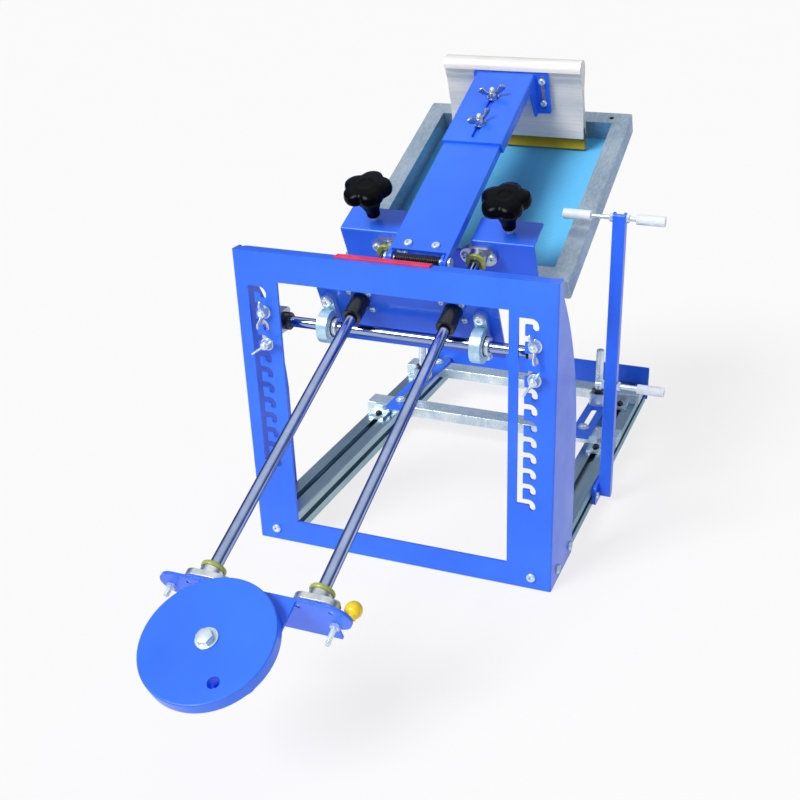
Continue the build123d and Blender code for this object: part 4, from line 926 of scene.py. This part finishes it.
bearing = {
    "outer": 0.0130, "race": 0.0112, "inner": 0.0080, "dip": 0.0007, "bore": 0.00605, "collar": 0.0100,
    "collarLength": 0.0050, "collarStep": 0.0003, "sealLap": 0.0004, "around": 56,
    "outerSoft": 0.0003, "innerSoft": 0.0005, "sealSoft": 0.0002,
}


def shaftBearings():
    # each bearing as turned steel races and a locking collar, with a sunk black seal between them
    size = bearing
    race, inner, dip, bore, collar = (size[key] for key in ("race", "inner", "dip", "bore", "collar"))
    sealIn, sealOut = inner - size["sealLap"], race + size["sealLap"]
    races, seals = [], []
    for solid in solidsOf("bearing_inserts"):
        foot, length = standing(solid, across)
        foot = np.array((foot[0], shaftPlace[1], shaftPlace[2]))
        width = length - size["collarLength"]
        outerRace = rounded([
            (race, dip), (race, 0), (size["outer"], 0), (size["outer"], width), (race, width), (race, dip),
        ], size["outerSoft"])
        innerRace = rounded([
            (bore, dip), (bore, 0), (inner, 0), (inner, width), (collar, width + size["collarStep"]),
            (collar, length), (bore, length), (bore, dip),
        ], size["innerSoft"])
        seal = rounded([
            (sealIn, width / 2), (sealIn, dip), (sealOut, dip), (sealOut, width - dip),
            (sealIn, width - dip), (sealIn, width / 2),
        ], size["sealSoft"])
        for profile, group in ((outerRace, races), (innerRace, races), (seal, seals)):
            group.append(turned(profile, size["around"], foot, across))
    makePiece("bearingRaces", races, "carriage", made["zinc"], ["bearing_inserts"])
    makePiece("bearingSeals", seals, "carriage", made["blackSteel"], ["bearing_inserts"])


shaftBearings()
print("bearings made")


cameraLook = {
    "place": (0.4387, -0.9483, 0.6865), "azimuth": 19.19, "elevation": 25.20,
    "focal": 1056.5, "imageWidth": 800.0, "sensor": 36.0, "axisX": 487.6, "axisY": 409.7,
    "nearest": 0.05, "farthest": 60.0,
}


def makeCamera():
    data = bpy.data.cameras.new("camera")
    camera = bpy.data.objects.new("camera", data)
    bpy.context.scene.collection.objects.link(camera)
    width = cameraLook["imageWidth"]
    data.sensor_width = cameraLook["sensor"]
    data.lens = cameraLook["focal"] / width * cameraLook["sensor"]
    data.shift_x = (width / 2 - cameraLook["axisX"]) / width
    data.shift_y = (cameraLook["axisY"] - width / 2) / width
    camera.location = cameraLook["place"]
    camera.rotation_euler = (radians(90 - cameraLook["elevation"]), 0, radians(cameraLook["azimuth"]))
    data.clip_start, data.clip_end = cameraLook["nearest"], cameraLook["farthest"]
    bpy.context.scene.camera = camera


studio = {
    "floorColour": (0.95, 0.93, 0.92), "floorHalf": 20.0, "floorDrop": 0.0004, "floorShade": 0.985,
    "floorCloud": 3.0, "glowColour": (1.0, 0.985, 0.98, 1), "glowShare": 0.78,
    "floorLook": {"Roughness": 0.9, "Specular IOR Level": 0.1},
    "skyColour": (0.80, 0.90, 1.0), "skyStrength": 0.44,
    "mirrorLow": (0.10, 0.15, 0.30), "mirrorHigh": (1.0, 1.0, 1.0), "mirrorFrom": 0.42, "mirrorTo": 0.86,
    "keyFrom": (-0.50, -0.85, 0.90), "keyStrength": 2.55, "keyAngle": 24.0,
    "fillPlace": (1.4, -1.6, 1.2), "fillSize": 1.6, "fillPower": 3.0,
}


def shownRays(tree, *rays):
    # one for the rays named, nought for the rest
    path = addNode(tree, "LightPath")
    share = path.outputs[rays[0]]
    for ray in rays[1:]:
        either = addNode(tree, "Math", operation="MAXIMUM")
        tree.links.new(share, either.inputs[0])
        tree.links.new(path.outputs[ray], either.inputs[1])
        share = either.outputs["Value"]
    return share


def makeFloor():
    # pale paper: to the eye and in metal it is partly bright by itself, and the rest takes the light
    # and the shadows
    half, low = studio["floorHalf"], -studio["floorDrop"]
    mesh = bpy.data.meshes.new("floor")
    mesh.from_pydata([(-half, -half, low), (half, -half, low), (half, half, low), (-half, half, low)],
                     [], [(0, 1, 2, 3)])
    floor = bpy.data.objects.new("floor", mesh)
    bpy.context.scene.collection.objects.link(floor)
    material, tree, shader = newMaterial("floorPaper")
    cloud = noise(tree, objectPattern(tree), studio["floorCloud"], 2.0)
    colour = studio["floorColour"]
    stops = [(noiseLow, tuple(c * studio["floorShade"] for c in colour)), (noiseHigh, colour)]
    tree.links.new(twoColours(tree, cloud, stops), shader.inputs["Base Color"])
    setLook(shader, studio["floorLook"])
    shown = shownRays(tree, "Is Camera Ray", "Is Glossy Ray", "Is Transmission Ray")
    share = addNode(tree, "Math", {1: studio["glowShare"]}, operation="MULTIPLY")
    tree.links.new(shown, share.inputs[0])
    glow = addNode(tree, "Emission", {"Color": studio["glowColour"], "Strength": 1.0})
    mix = addNode(tree, "MixShader")
    tree.links.new(share.outputs["Value"], mix.inputs["Fac"])
    tree.links.new(shader.outputs["BSDF"], mix.inputs[1])
    tree.links.new(glow.outputs["Emission"], mix.inputs[2])
    tree.links.new(mix.outputs["Shader"], tree.nodes["Material Output"].inputs["Surface"])
    mesh.materials.append(material)


def makeSky():
    # plain light on the object, a white backdrop for the eye, and in the metal a bright ceiling that
    # fades to a dim wall: the share of white rises with the height of the direction looked in
    world = bpy.data.worlds.new("studio")
    bpy.context.scene.world = world
    world.use_nodes = True
    tree = world.node_tree
    sky = tree.nodes["Background"]
    sky.inputs["Color"].default_value = (*studio["skyColour"], 1)
    sky.inputs["Strength"].default_value = studio["skyStrength"]
    white = addNode(tree, "Background", {"Color": (1, 1, 1, 1), "Strength": 1.0})
    place = addNode(tree, "TexCoord")
    split = addNode(tree, "SeparateXYZ")
    tree.links.new(place.outputs["Generated"], split.inputs["Vector"])
    height = spread(tree, split.outputs["Z"], studio["mirrorFrom"], studio["mirrorTo"], 0.0, 1.0)
    stops = [(0.0, studio["mirrorLow"]), (1.0, studio["mirrorHigh"])]
    mirror = addNode(tree, "Background", {"Strength": 1.0})
    tree.links.new(twoColours(tree, height, stops), mirror.inputs["Color"])
    shown = sky.outputs["Background"]
    for rays, source in ((["Is Glossy Ray"], mirror), (["Is Camera Ray", "Is Transmission Ray"], white)):
        mix = addNode(tree, "MixShader")
        tree.links.new(shownRays(tree, *rays), mix.inputs["Fac"])
        tree.links.new(shown, mix.inputs[1])
        tree.links.new(source.outputs["Background"], mix.inputs[2])
        shown = mix.outputs["Shader"]
    tree.links.new(shown, tree.nodes["World Output"].inputs["Surface"])


def placeLamp(kind, name, place):
    lamp = bpy.data.lights.new(name, kind)
    holder = bpy.data.objects.new(name, lamp)
    bpy.context.scene.collection.objects.link(holder)
    holder.location = place
    holder.rotation_mode = "QUATERNION"
    holder.rotation_quaternion = Vector(place).to_track_quat("Z", "Y")
    return lamp


def makeLight():
    makeSky()
    key = placeLamp("SUN", "key", studio["keyFrom"])
    key.energy = studio["keyStrength"]
    key.angle = radians(studio["keyAngle"])
    fill = placeLamp("AREA", "fill", studio["fillPlace"])
    fill.energy = studio["fillPower"]
    fill.size = studio["fillSize"]


makeCamera()
makeFloor()
makeLight()
bpy.context.scene.view_settings.view_transform = "Standard"
print("stage made")
